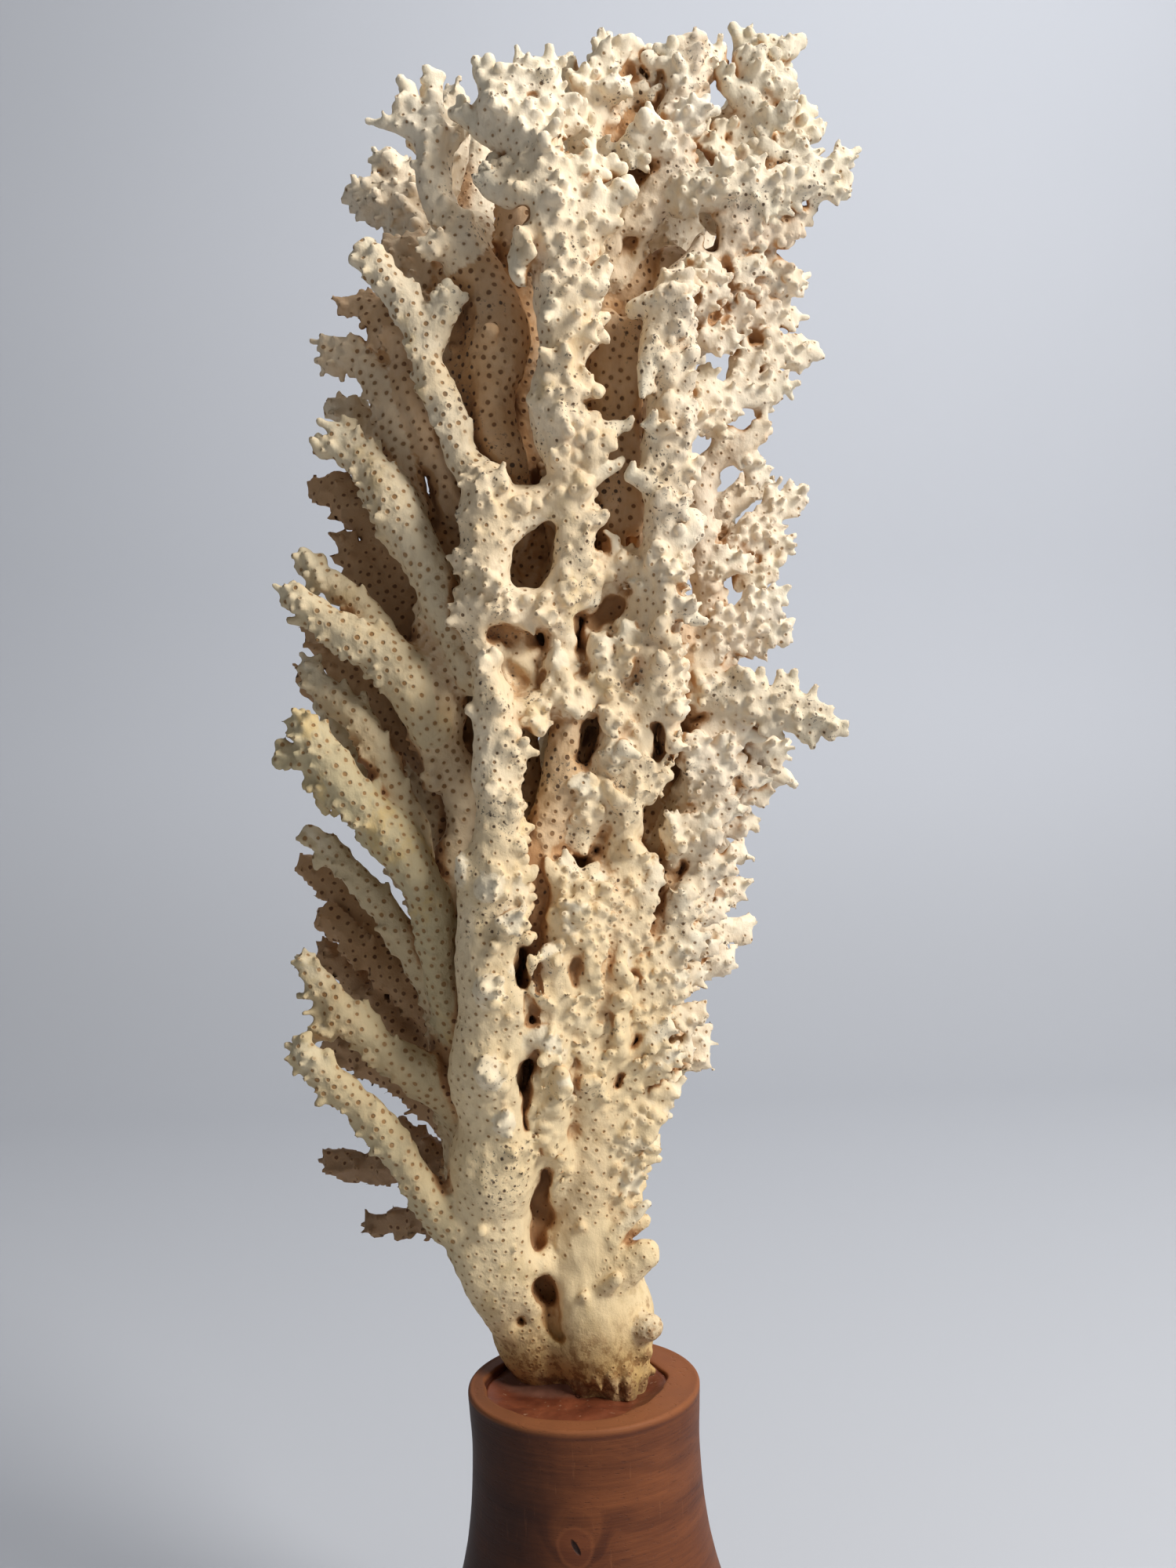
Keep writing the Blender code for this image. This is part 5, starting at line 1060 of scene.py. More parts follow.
grow("right_top_branch", [
    [(38, 346, -6, 4.2), (40.4, 352, -6.6, 4.4), (42.6, 358, -7, 4.4), (46, 366, -8, 4.4),
     (48.2, 374, -8, 4.2), (50.6, 382.4, -8, 2.2)],
    [(46, 356, -5, 3.4), (50, 360.4, -4.4, 3), (53.6, 364, -4, 2.6), (57.6, 368.4, -3, 1.5)],
    [(46, 368, -8, 3.4), (45, 377, -7, 2.8), (44.8, 384, -6, 1.8)],
    [(44, 362, -8, 3.2), (40, 365.6, -8, 2.4), (37, 368, -8, 1.6)],
    [(48, 374, -8.6, 3.4), (52.4, 374, -10, 2.2)],
    [(48.6, 376, -7, 3), (53, 382, -6, 1.7)],
    [(44, 360, -9, 3.4), (49.4, 357.4, -12, 2.3), (54.6, 358.6, -13, 1.5)],
    [(46.6, 369, -10, 3), (42, 373.6, -13, 2), (39.6, 376.6, -13, 1.4)],
    [(51, 361, -5, 2.6), (55.6, 361, -6, 1.4)],
    [(46, 366, -10, 3.2), (51, 366.4, -14, 2), (54, 368.6, -15, 1.3)],
    [(42, 356, -9, 3.4), (37.6, 360.6, -13, 2.2), (34.6, 363.4, -14, 1.5)],
    [(47.4, 372, -10, 3), (46.6, 377, -14, 1.9)],
], tubes=1.4, thick=0.8, side=(0.5, -0.6, 0.2), cover=0.0, teeth=3.6, green=0.3)
grow("middle_top", [
    [(8, 334, -8, 6), (8.6, 344, -10.6, 5.6), (9.4, 353, -12.2, 5.2), (10.6, 362, -13.6, 5),
     (12, 371, -14, 4.6), (15, 382.4, -14, 2.6)],
    [(9, 356, -11, 4.4), (13, 359, -14, 3.8), (17.6, 360, -16.6, 2.8), (21, 358.8, -18, 1.8)],
    [(10, 361, -9, 4), (7, 371, -8.6, 3.2), (5, 380, -8, 2)],
    [(13, 375, -13, 3.6), (19, 381, -11, 2)],
    [(12, 371, -15, 3.4), (8.6, 376, -19, 2)],
    [(13, 373, -15, 3.4), (18, 374.6, -19, 2)],
    [(10, 364, -15, 3.4), (6, 366.6, -20, 2)],
    [(20, 378, -10, 2.8), (24, 378.6, -9, 2), (27, 380, -10, 1.6)],
    [(14, 370, -10, 4), (21, 372.6, -9.6, 3.4), (27, 372, -10, 3)],
], tubes=1.2, thick=0.85, side=(0.3, -0.6, 0.5), cover=-0.4, teeth=3.6)
hollows += [
    ([(6, 357), (6, 360.4)], 2.2, -40, -30),
    ([(16, 364.6), (16.8, 368.2)], 2.2, -40, -16),
    ([(17.2, 336.4), (18.8, 341)], 2.3, -40, -13),
    ([(36, 340), (36.6, 344)], 1.5, -40, -7),
    ([(-12, 342.6), (-5, 347.6)], 1.8, -40, -22),
    ([(-14.6, 354), (-14.8, 357.4)], 1.5, -40, -17),
]

# Back of the colony: more columns and side branches of the same kind, which the photograph
# doesn't show, knobbly outside and smooth in the shade between them.
def back_column(name, routes, side):
    grow(name, routes, tubes=1.5, thick=1.0, side=side, teeth=2.0)


back_column("back_middle_column", [
    [(-3, 130, 20, 11), (-1, 156, 22, 9.4), (1, 190, 25, 8.4), (2, 226, 28, 7.4), (3, 264, 31, 6.8),
     (4, 304, 33, 6.4), (5, 342, 34, 5.4), (3, 364, 34, 2.6)],
    [(2, 232, 29, 4.4), (-4, 250, 36, 3.2), (-7, 268, 39, 1.8)],
    [(3, 286, 32, 4.4), (8, 302, 38, 3.4), (12, 320, 40, 1.8)],
    [(0, 180, 25, 4.4), (6, 194, 32, 3), (8, 210, 35, 1.6)],
    [(6, 332, 34, 4), (15, 352, 36, 2)],
    [(-2, 156, 24, 4), (-6, 168, 35, 1.8)],
    [(4, 318, 34, 4), (-5, 338, 39, 1.8)],
    [(1, 200, 27, 4), (-5, 212, 36, 1.8)],
    [(2, 214, 28, 4), (10, 228, 37, 1.8)],
    [(3, 252, 30, 4), (9, 264, 39, 1.8)],
    [(3, 272, 32, 4), (-4, 288, 40, 1.8)],
    [(0, 140, 24, 5), (5, 148, 34, 2)],
    [(4, 296, 33, 4), (-4, 310, 40, 1.6)],
    [(5, 344, 34, 3.4), (-3, 358, 37, 1.6)],
    [(0, 168, 26, 4), (7, 176, 35, 1.6)],
], side=(0.2, 0.9, 0.2))
back_column("back_left_column", [
    [(-10, 138, 18, 9), (-16, 168, 19, 7.4), (-19, 204, 20, 6.6), (-20, 240, 21, 6.2),
     (-20, 276, 22, 5.8), (-18, 310, 24, 5.4), (-16, 342, 26, 4.8), (-13, 366, 26, 2.4)],
    [(-19, 216, 20, 4), (-28, 232, 28, 3), (-36, 244, 34, 1.8)],
    [(-18, 180, 20, 4), (-28, 196, 28, 3), (-36, 206, 33, 1.6)],
    [(-18, 320, 24, 4), (-26, 340, 30, 3), (-31, 352, 33, 1.6)],
    [(-20, 256, 22, 4), (-28, 276, 31, 1.8)],
    [(-18, 296, 24, 4), (-25, 312, 34, 1.6)],
    [(-14, 160, 20, 4), (-24, 170, 32, 1.6)],
    [(-19, 198, 21, 4), (-18, 212, 33, 1.8)],
    [(-20, 236, 22, 4), (-16, 250, 33, 1.8)],
    [(-20, 268, 23, 4), (-15, 284, 34, 1.8)],
    [(-17, 328, 25, 3.6), (-12, 344, 34, 1.6)],
    [(-15, 148, 20, 4.4), (-14, 158, 31, 1.8)],
    [(-17, 174, 20, 4), (-13, 186, 31, 1.6)],
    [(-15, 348, 26, 3.4), (-22, 364, 28, 1.6)],
], side=(-0.5, 0.8, 0.2))
back_column("back_right_column", [
    [(5, 138, 18, 9), (12, 168, 19, 7.4), (16, 204, 20, 6.6), (18, 240, 22, 6), (19, 276, 23, 5.4),
     (22, 312, 25, 5.2), (27, 342, 26, 4.8), (30, 364, 26, 2.4)],
    [(17, 226, 22, 4), (26, 240, 29, 3), (34, 250, 34, 1.6)],
    [(21, 306, 25, 4), (33, 322, 29, 3.4), (42, 334, 31, 1.8)],
    [(25, 330, 26, 4), (36, 346, 28, 3.4), (44, 358, 29, 2)],
    [(14, 188, 20, 4), (24, 200, 30, 1.6)],
    [(19, 268, 23, 4), (27, 286, 32, 1.8)],
    [(10, 158, 20, 4), (18, 168, 31, 1.6)],
    [(16, 210, 22, 4), (13, 222, 33, 1.8)],
    [(18, 246, 23, 4), (16, 262, 34, 1.8)],
    [(20, 290, 24, 4), (16, 304, 35, 1.8)],
    [(13, 176, 20, 4), (14, 190, 31, 1.8)],
    [(23, 322, 26, 3.6), (20, 338, 35, 1.6)],
    [(28, 346, 26, 3.4), (24, 362, 33, 1.6)],
    [(7, 146, 20, 4.4), (10, 156, 31, 1.8)],
], side=(0.5, 0.8, 0.2))
grow("back_left_fan", [
    [(-17, 232, 8, 6), (-17, 290, 9, 5.6), (-16, 344, 10, 4.6)],
    [(-18, 262, 9, 5.4), (-28, 280, 14, 4), (-36, 296, 18, 3), (-41, 308, 21, 1.6)],
    [(-18, 284, 10, 5), (-26, 306, 15, 4), (-33, 326, 19, 3), (-36, 340, 21, 1.6)],
    [(-18, 240, 9, 5), (-31, 256, 16, 3.4), (-42, 266, 21, 1.8)],
    [(-30, 284, 15, 3.4), (-38, 286, 20, 1.6)],
    [(-28, 310, 16, 3.4), (-38, 318, 18, 1.6)],
], tubes=1.4, thick=0.8, pore=0.42, side=(-0.4, 0.6, -0.6), cover=0.5, tan=0.3)
grow("back_right_fan", [
    [(17, 226, 11, 5.4), (18, 280, 11, 5), (22, 318, 11, 5), (27, 346, 11, 4.4), (34, 366, 10, 2.4)],
    [(22, 314, 12, 4.4), (37, 330, 15, 3.6), (48, 340, 17, 2)],
    [(18, 228, 12, 5), (29, 236, 14, 3.6), (41, 242, 16, 1.8)],
    [(19, 256, 12, 4), (26, 250, 18, 2)],
    [(25, 340, 12, 4), (40, 352, 16, 3), (48, 362, 18, 1.8)],
    [(30, 238, 14, 3), (36, 250, 15, 2), (42, 256, 15, 1.4)],
    [(30, 354, 11, 3.4), (40, 366, 10, 2.6), (46, 374, 8, 1.6)],
    [(36, 330, 15, 3), (46, 328, 14, 1.6)],
], tubes=1.5, thick=0.8, side=(0.7, 0.3, 0), cover=0.7)


# Skin of the whole colony. A field of distances to the limbs is blended where limbs meet, tubes
# are set on it along the limbs, hollows are worn into it, and its surface is drawn and shared
# out: each fork's piece is the outer skin alone, and meets its neighbours edge to edge.
CELL = 0.58
TUBE_WEB = 0.34
TUBE_REACH = 1.7
HOLLOW_WEB = 0.8
FAR = 60.0
FIELD_REACH = 4.2
COARSE_BEHIND = 3

# The grid is even in front and in the middle plane, and its steps grow towards the back.
back_steps = np.concatenate([np.linspace(CELL, 2.2 * CELL, 16), np.full(40, 2.2 * CELL)])
back_half = -2.0 + np.cumsum(back_steps)
grid = (
    np.arange(-66.0, 70.0, CELL),
    np.concatenate([np.arange(-38.5, -2.0, CELL), back_half[: np.searchsorted(back_half, 47.5)]]),
    np.arange(79.0, 388.0, CELL),
)
shape = tuple(len(axis) for axis in grid)
cell_shape = [n - 1 for n in shape]


def cells_between(low, high):
    """Slices of the grid from one corner to another, and the coordinates inside them."""
    spans = [slice(*np.searchsorted(axis, (a, b))) for axis, a, b in zip(grid, low, high)]
    return tuple(spans), np.ix_(*(axis[span].astype(np.float32) for axis, span in zip(grid, spans)))


def grid_index(places):
    """The grid point nearest to each place."""
    return tuple(np.rint(np.interp(places[:, n], grid[n], np.arange(shape[n]))).astype(int)
                 for n in range(3))


def rod(space, a, b, ra, rb):
    """Distance to a rod with round ends whose radius goes from ra to rb."""
    x, y, z = (axis - np.float32(start) for axis, start in zip(space, a))
    d = [float(end - start) for start, end in zip(a, b)]
    per_length = np.float32(1 / max(sum(v * v for v in d), 1e-9))
    t = np.clip((x * d[0] + y * d[1] + z * d[2]) * per_length, 0, 1)
    away = (x - t * d[0]) ** 2 + (y - t * d[1]) ** 2 + (z - t * d[2]) ** 2
    return np.sqrt(away) - (ra + t * (rb - ra))


weight = np.zeros(shape, np.float32)
fine_weight = np.zeros(shape, np.float32)
nearest = np.full(shape, FAR, np.float32)
owner = np.zeros(shape, np.int16)
for number, limb in enumerate(limbs):
    line = limb["line"]
    reach = line[:, 3:].max() + FIELD_REACH
    whole, _ = cells_between(line[:, :3].min(0) - reach, line[:, :3].max(0) + reach)
    local = np.full([span.stop - span.start for span in whole], FAR, np.float32)
    for a, b in zip(line[:-1], line[1:]):
        reach = max(a[3], b[3]) + FIELD_REACH
        part, space = cells_between(np.minimum(a, b)[:3] - reach, np.maximum(a, b)[:3] + reach)
        inner = tuple(slice(p.start - w.start, p.stop - w.start) for p, w in zip(part, whole))
        local[inner] = np.minimum(local[inner], rod(space, a[:3], b[:3], a[3], b[3]))
    tally = fine_weight if limb["web"] == KNOB_WEB else weight
    tally[whole] += np.exp(-local / limb["web"])
    closer = local < nearest[whole]
    nearest[whole][closer] = local[closer]
    owner[whole][closer] = number

body = -KNOB_WEB * np.log(np.maximum(weight, 1e-12) ** (WEB / KNOB_WEB) + fine_weight + 1e-18)
uncut = body.copy()
for route, sizes, front, back in hollows:
    sizes = sizes if isinstance(sizes, list) else [sizes] * len(route)
    for (ax, az), (bx, bz), ra, rb in zip(route, route[1:], sizes, sizes[1:]):
        low = (min(ax, bx) - 9, front, min(az, bz) - 9)
        part, (x, y, z) = cells_between(low, (max(ax, bx) + 9, back + 5, max(az, bz) + 9))
        spread = (VIEW_DISTANCE + y) / VIEW_DISTANCE
        flat = ((x - VIEW_X) / spread + VIEW_X + 0.35 * np.sin(z * 0.9 + 0.5 * y),
                (z - VIEW_HEIGHT) / spread + VIEW_HEIGHT + 0.35 * np.sin(x * 1.1 + 0.4 * y),
                np.maximum(y - back, 0))
        cut = rod(flat, (ax, az, 0), (bx, bz, 0), ra, rb)
        narrowing = 0.8 if max(ra, rb) < 1.6 else 0.25
        cut += np.clip((y - back + 6) / 6, 0, 1) * narrowing * min(ra, rb)
        body[part] = HOLLOW_WEB * np.logaddexp(body[part] / HOLLOW_WEB, -cut / HOLLOW_WEB)


def surface_cells(label):
    """Cells whose corners don't all belong to one solid, as flat indices."""
    first = label[:-1, :-1, :-1]
    split = np.zeros(first.shape, bool)
    for i, j, k in np.ndindex(2, 2, 2):
        split |= label[i:shape[0] - 1 + i, j:shape[1] - 1 + j, k:shape[2] - 1 + k] != first
    return np.flatnonzero(split)


def cell_points(field, cells):
    """The point where the surface passes through each cell, and whether it does."""
    i, j, k = np.unravel_index(cells, cell_shape)
    corner = {c: field[i + c[0], j + c[1], k + c[2]] for c in np.ndindex(2, 2, 2)}
    total = np.zeros((len(cells), 3))
    count = np.zeros(len(cells))
    for a in corner:
        for axis in range(3):
            if a[axis]:
                continue
            b = tuple(1 if n == axis else a[n] for n in range(3))
            crosses = (corner[a] < 0) != (corner[b] < 0)
            share = np.where(crosses, corner[a] / np.where(crosses, corner[a] - corner[b], 1), 0)
            total += np.stack([np.where(crosses, a[n] + (share if n == axis else 0), 0)
                               for n in range(3)], 1)
            count += crosses
    local = np.where(count[:, None] > 0, total / np.maximum(count, 1)[:, None], 0.5)
    points = [axis[c] + local[:, n] * (axis[c + 1] - axis[c])
              for n, (axis, c) in enumerate(zip(grid, (i, j, k)))]
    return np.stack(points, 1), count > 0


def slope(field, cells):
    """Outward direction of the field in each cell."""
    i, j, k = np.unravel_index(cells, cell_shape)
    made = np.zeros((len(cells), 3))
    for c in np.ndindex(2, 2, 2):
        value = field[i + c[0], j + c[1], k + c[2]]
        for n in range(3):
            made[:, n] += value * (1 if c[n] else -1)
    for n, (axis, c) in enumerate(zip(grid, (i, j, k))):
        made[:, n] /= axis[c + 1] - axis[c]
    return made / np.maximum(np.linalg.norm(made, axis=1, keepdims=True), 1e-9)


# Calices, the cups the polyps sat in. Spots of the bare skin are taken in random order, each
# one that stands as far from those already taken as the real ones stand apart. A spot that
# faces its limb's rough side, or is near a tip, grows into a tube; the others stay sunk.
LONG_TIP = 6
AROUND = [(i, j, k) for i in (-1, 0, 1) for j in (-1, 0, 1) for k in (-1, 0, 1)]
BLOCK = 4

rng = np.random.default_rng(11)
cells = surface_cells(body < 0)
spots, _ = cell_points(body, cells)
faces_out = slope(body, cells)
limb_of = owner[grid_index(spots)]
along = np.zeros_like(spots)
from_tip = np.zeros(len(spots))
thickness = np.zeros(len(spots))
for number, limb in enumerate(limbs):
    mine = np.flatnonzero(limb_of == number)
    line = limb["line"]
    steps = np.diff(line[:, :3], axis=0)
    middle = line[:-1, :3] + steps / 2
    left = np.cumsum(np.linalg.norm(steps, axis=1)[::-1])[::-1]
    for chunk in np.array_split(mine, max(1, len(mine) // 4000)):
        near = ((spots[chunk, None, :] - middle[None]) ** 2).sum(2).argmin(1)
        along[chunk] = steps[near] / np.linalg.norm(steps[near], axis=1, keepdims=True)
        from_tip[chunk] = left[near]
        thickness[chunk] = line[near, 3]
traits = {key: np.array([limb[key] for limb in limbs])[limb_of]
          for key in ("tubes", "thick", "cover", "pore", "tip", "side")}
rough = (faces_out * traits["side"]).sum(1) + traits["cover"]
rough += 0.35 * rng.standard_normal(len(spots)) * 0.5
at_tip = (traits["tubes"] > 0.6) * (thickness < 4.4)
rough += 1.6 * np.clip(1 - from_tip / traits["tip"], 0, 1) * at_tip
rough -= np.clip((from_tip - 26) / 10, 0, 1.5) * (traits["tip"] > LONG_TIP)
rough = np.where((traits["tubes"] > 0) & (rng.random(len(spots)) > 0.3), rough, -1)
spread_of = rng.uniform(0.85, 1.0, len(spots))
spread_of += np.where(traits["pore"] > 0.35, 0.05, rng.uniform(0, 0.6, len(spots)))

taken = {}


def crowded(x, y, z, apart, block):
    """Whether a calice already taken stands too near."""
    for i, j, k in AROUND:
        for px, py, pz, gap in taken.get((block[0] + i, block[1] + j, block[2] + k), ()):
            least = (gap + apart) * 0.5
            if (px - x) ** 2 + (py - y) ** 2 + (pz - z) ** 2 < least * least:
                return True
    return False


chosen = []
for n in rng.permutation(len(spots)):
    standing = rough[n] > 0
    pore = traits["pore"][n]
    if spots[n, 2] < 93 or not (standing or pore):
        continue
    apart = traits["thick"][n] * 2.4 if standing else (0.95 + 2.5 * pore) * spread_of[n]
    x, y, z = spots[n]
    block = (int(x // BLOCK), int(y // BLOCK), int(z // BLOCK))
    if not crowded(x, y, z, apart, block):
        taken.setdefault(block, []).append((x, y, z, apart))
        chosen.append(n)

# Each calice is its place, the radius of its pore, and 1 where it stands up as a tube.
tube_weight = np.zeros(shape, np.float32)
calices = []
for n in chosen:
    point, out = spots[n], faces_out[n]
    if rough[n] <= 0:
        calices.append((point, traits["pore"][n] * rng.uniform(0.8, 1.25), 0.0))
        continue
    grown = min(1.0, 0.3 + rough[n]) * rng.uniform(0.5, 1.4)
    length = traits["tubes"][n] * grown * 1.15
    wide = traits["thick"][n] * rng.uniform(0.8, 1.25)
    axis = out + along[n] * 0.55 + rng.normal(0, 0.16, 3)
    axis /= np.linalg.norm(axis)
    foot = point - out * 0.8
    top = point + axis * length
    reach = wide + TUBE_REACH
    part, space = cells_between(np.minimum(foot, top) - reach, np.maximum(foot, top) + reach)
    tube_weight[part] += np.exp(-rod(space, foot, top, wide, wide * 0.97) / TUBE_WEB)
    calices.append((top + axis * wide * 0.75, rng.uniform(0.22, 0.36), 1.0))

field = -TUBE_WEB * np.log(np.exp(-np.clip(uncut, -20, 12) / TUBE_WEB) + tube_weight)
field = np.where(body - uncut > 0.02, np.maximum(field, body), field)

# Shade: how much coral stands round each place. It paints shade into the recesses, together
# with the tan of old tissue stains there.
density = (field < 0).astype(np.float32)
for axis, width in ((0, 7.5), (1, 6.5), (2, 7.5), (0, 4.8), (1, 3.5), (2, 4.8)):
    width = round(width / CELL) // 2 * 2 + 1
    total = np.cumsum(density, axis=axis, dtype=np.float32)
    total = np.concatenate([np.zeros_like(np.take(total, [0], axis)), total], axis)
    size = shape[axis]
    low = np.clip(np.arange(size) - width // 2, 0, size)
    high = np.clip(np.arange(size) + width // 2 + 1, 0, size)
    density = (np.take(total, high, axis) - np.take(total, low, axis)) / width

# Drawing: a face stands between every two grid points of which one is coral and one is air.
fork_of = np.array([limb["fork"] for limb in limbs], np.int16)
label = np.where(field < 0, fork_of[owner], -1).astype(np.int16)
cells = surface_cells(label)
points, on_skin = cell_points(field, cells)
number_of = np.full(np.prod(cell_shape), -1, np.int64)
number_of[cells] = np.arange(len(cells))
number_of = number_of.reshape(cell_shape)

quads = []
fork_ids = []
for axis in range(3):
    u, v = (axis + 1) % 3, (axis + 2) % 3
    start = [slice(1, -1)] * 3
    end = [slice(1, -1)] * 3
    start[axis], end[axis] = slice(0, -1), slice(1, None)
    a, b = label[tuple(start)], label[tuple(end)]
    base = np.stack(np.nonzero(a != b), 1)
    base[:, [u, v]] += 1
    la, lb = a[a != b], b[a != b]
    corners = []
    for du, dv in ((-1, -1), (0, -1), (0, 0), (-1, 0)):
        spot = base.copy()
        spot[:, u] += du
        spot[:, v] += dv
        corners.append(number_of[tuple(spot.T)])
    quad = np.stack(corners, 1)
    for own, other, face in ((la, lb, quad), (lb, la, quad[:, ::-1])):
        keep = (own >= 0) & (other < 0)
        quads.append(face[keep])
        fork_ids.append(own[keep])
quads = np.concatenate(quads)
fork_ids = np.concatenate(fork_ids)

# Behind the middle plane the cells are joined two by two, and a face that shrinks to nothing
# there is left out. A triangle is a quad whose last two corners are the same.
i, j, k = np.unravel_index(cells, cell_shape)
pair = ((i // 2).astype(np.int64) * shape[1] + j) * shape[2] + k // 2
key = np.where(grid[1][j] > COARSE_BEHIND, pair, -1 - np.arange(len(cells)))
joined = np.unique(key, return_inverse=True)[1].reshape(-1)
drawn = np.zeros(len(cells), bool)
drawn[quads.ravel()] = True
share = np.maximum(np.bincount(joined, drawn), 1e-9)
points = np.stack([np.bincount(joined, points[:, n] * drawn) / share for n in range(3)], 1)
on_skin = np.bincount(joined, on_skin & drawn) > 0
quads = joined[quads]
same = np.stack([quads[:, c] == quads[:, (c + 1) % 4] for c in range(4)], 1)
whole = (same.sum(1) < 2) & (quads[:, 0] != quads[:, 2]) & (quads[:, 1] != quads[:, 3])
quads, fork_ids, same = quads[whole], fork_ids[whole], same[whole]
three = same.any(1)
turn = np.where(three, same.argmax(1) + 1, 0)
quads = np.take_along_axis(quads, (np.arange(4) + turn[:, None]) % 4, 1)
quads[three, 3] = quads[three, 2]


def normals_of(points):
    """Normals of the skin at every point, the same on both sides of a join."""
    p = points[quads]
    face = np.cross(p[:, 2] - p[:, 0], p[:, 3] - p[:, 1])
    made = np.zeros_like(points)
    for c in range(4):
        for n in range(3):
            made[:, n] += np.bincount(quads[:, c], face[:, n], len(points))
    length = np.linalg.norm(made, axis=1, keepdims=True)
    return np.where(length > 1e-9, made / np.maximum(length, 1e-9), (0, 0, 1))


def weathering(places):
    """How far the skin stands proud or is worn back at each place."""
    made = np.empty(len(places))
    for n, (x, y, z) in enumerate(places.tolist()):
        broad = noise.noise((x * 0.13, y * 0.13, z * 0.10))
        fine = noise.noise((x * 0.5, y * 0.5, z * 0.42 + 40.0))
        made[n] = 0.6 * broad + 0.42 * fine
    return made


fade = np.clip(0.3 + (points[:, 2] - 92) / 80, 0, 1)
points = points + normals_of(points) * (weathering(points) * on_skin * fade)[:, None]
skin_normals = normals_of(points)

tree = kdtree.KDTree(len(calices))
for n, (place, _, _) in enumerate(calices):
    tree.insert(place, n)
tree.balance()
place_of, size_of, stand_of = (np.array(column) for column in zip(*calices))
nearest_calice = np.array([tree.find(c)[1] for c in points[quads].mean(1).tolist()])

TIP_LENGTH = 9.0
shade = density[grid_index(points + 2.4 * skin_normals)]
limb_at = owner[grid_index(points)]
tan_at = np.array([limb["tan"] for limb in limbs])[limb_at]
green_at = np.array([limb["green"] for limb in limbs])[limb_at]
front_at = (np.clip((-6 - points[:, 1]) / 8, 0, 1)
            * np.clip((points[:, 0] + 24) / 6, 0, 1))
tip_at = np.full(len(points), FAR)
for number, limb in enumerate(limbs):
    mine = np.flatnonzero(limb_at == number)
    if len(limb["line"]) > 4 and limb["line"][-1, 3] < 3:
        tip_at[mine] = np.linalg.norm(points[mine] - limb["line"][-1, :3], axis=1)
tip_at = np.clip(1 - tip_at / TIP_LENGTH, 0, 1)


# Coral finish: cream lime, paler at the tips and greenish on the left fan, tan where old tissue
# dried in the recesses, yellow at the foot, with a brown dot in each calice and grey specks of
# dirt in the pores of the front columns. Painted shade darkens the recesses along with the tan,
# the lower left fan, the shaded branches behind it and each calice's pore, and a painted
# highlight makes the top paler.
def painted(title):
    """Three numbers that each face or point of the skin carries."""
    return Value.node("Attribute", {"attribute_type": "GEOMETRY", "attribute_name": title}, {},
                      "Vector")


coral_skin, shader = start_material("coral_skin")
where = object_place()
height = where.axis("Z")
across = where.axis("X")
kind, wear, tint = painted("calice_kind"), painted("wear"), painted("tint")
pore_size, standing = kind.axis("X"), kind.axis("Y")
recess, tip, front = wear.axis("X"), wear.axis("Y"), wear.axis("Z")
tan, green = tint.axis("X"), tint.axis("Y")

gap = Value.node("VectorMath", {"operation": "SUBTRACT"}, {0: where, 1: painted("calice")})
away = Value.node("VectorMath", {"operation": "LENGTH"}, {0: gap}, "Value") * 1000.0
away = away + (grain(where, 1500.0, 2.0) - 0.5) * 0.22
# Each calice's dot: a brown pore, darkened in part as painted shade of the pit.
dot = (away - pore_size).between(0.14, -0.12)
collar = (away - pore_size).between(0.75, 0.1)

broad = grain(where, 60.0, 4.0, 0.6)
patch = grain(stretched(150.0, 150.0, 110.0), 1.0, 4.0, 0.6)
fine = grain(where, 1900.0, 3.0, 0.65)
streak = grain(stretched(1300.0, 1300.0, 260.0), 1.0, 3.0, 0.6)
mottle = grain(where, 420.0, 4.0, 0.7)
dirt = grain(where, 1300.0, 2.0, 0.6)
dirt_area = grain(where, 95.0, 3.0).between(0.50, 0.62)

# Old tissue stains mixed with painted shade: tan grows with each limb's tan and with how deep the place
# lies among the coral.
stain_and_shade = (recess.between(0.23, 0.54) * 1.05 + tan * 0.7 + (patch - 0.5) * 0.5).between(0.0, 1.0)
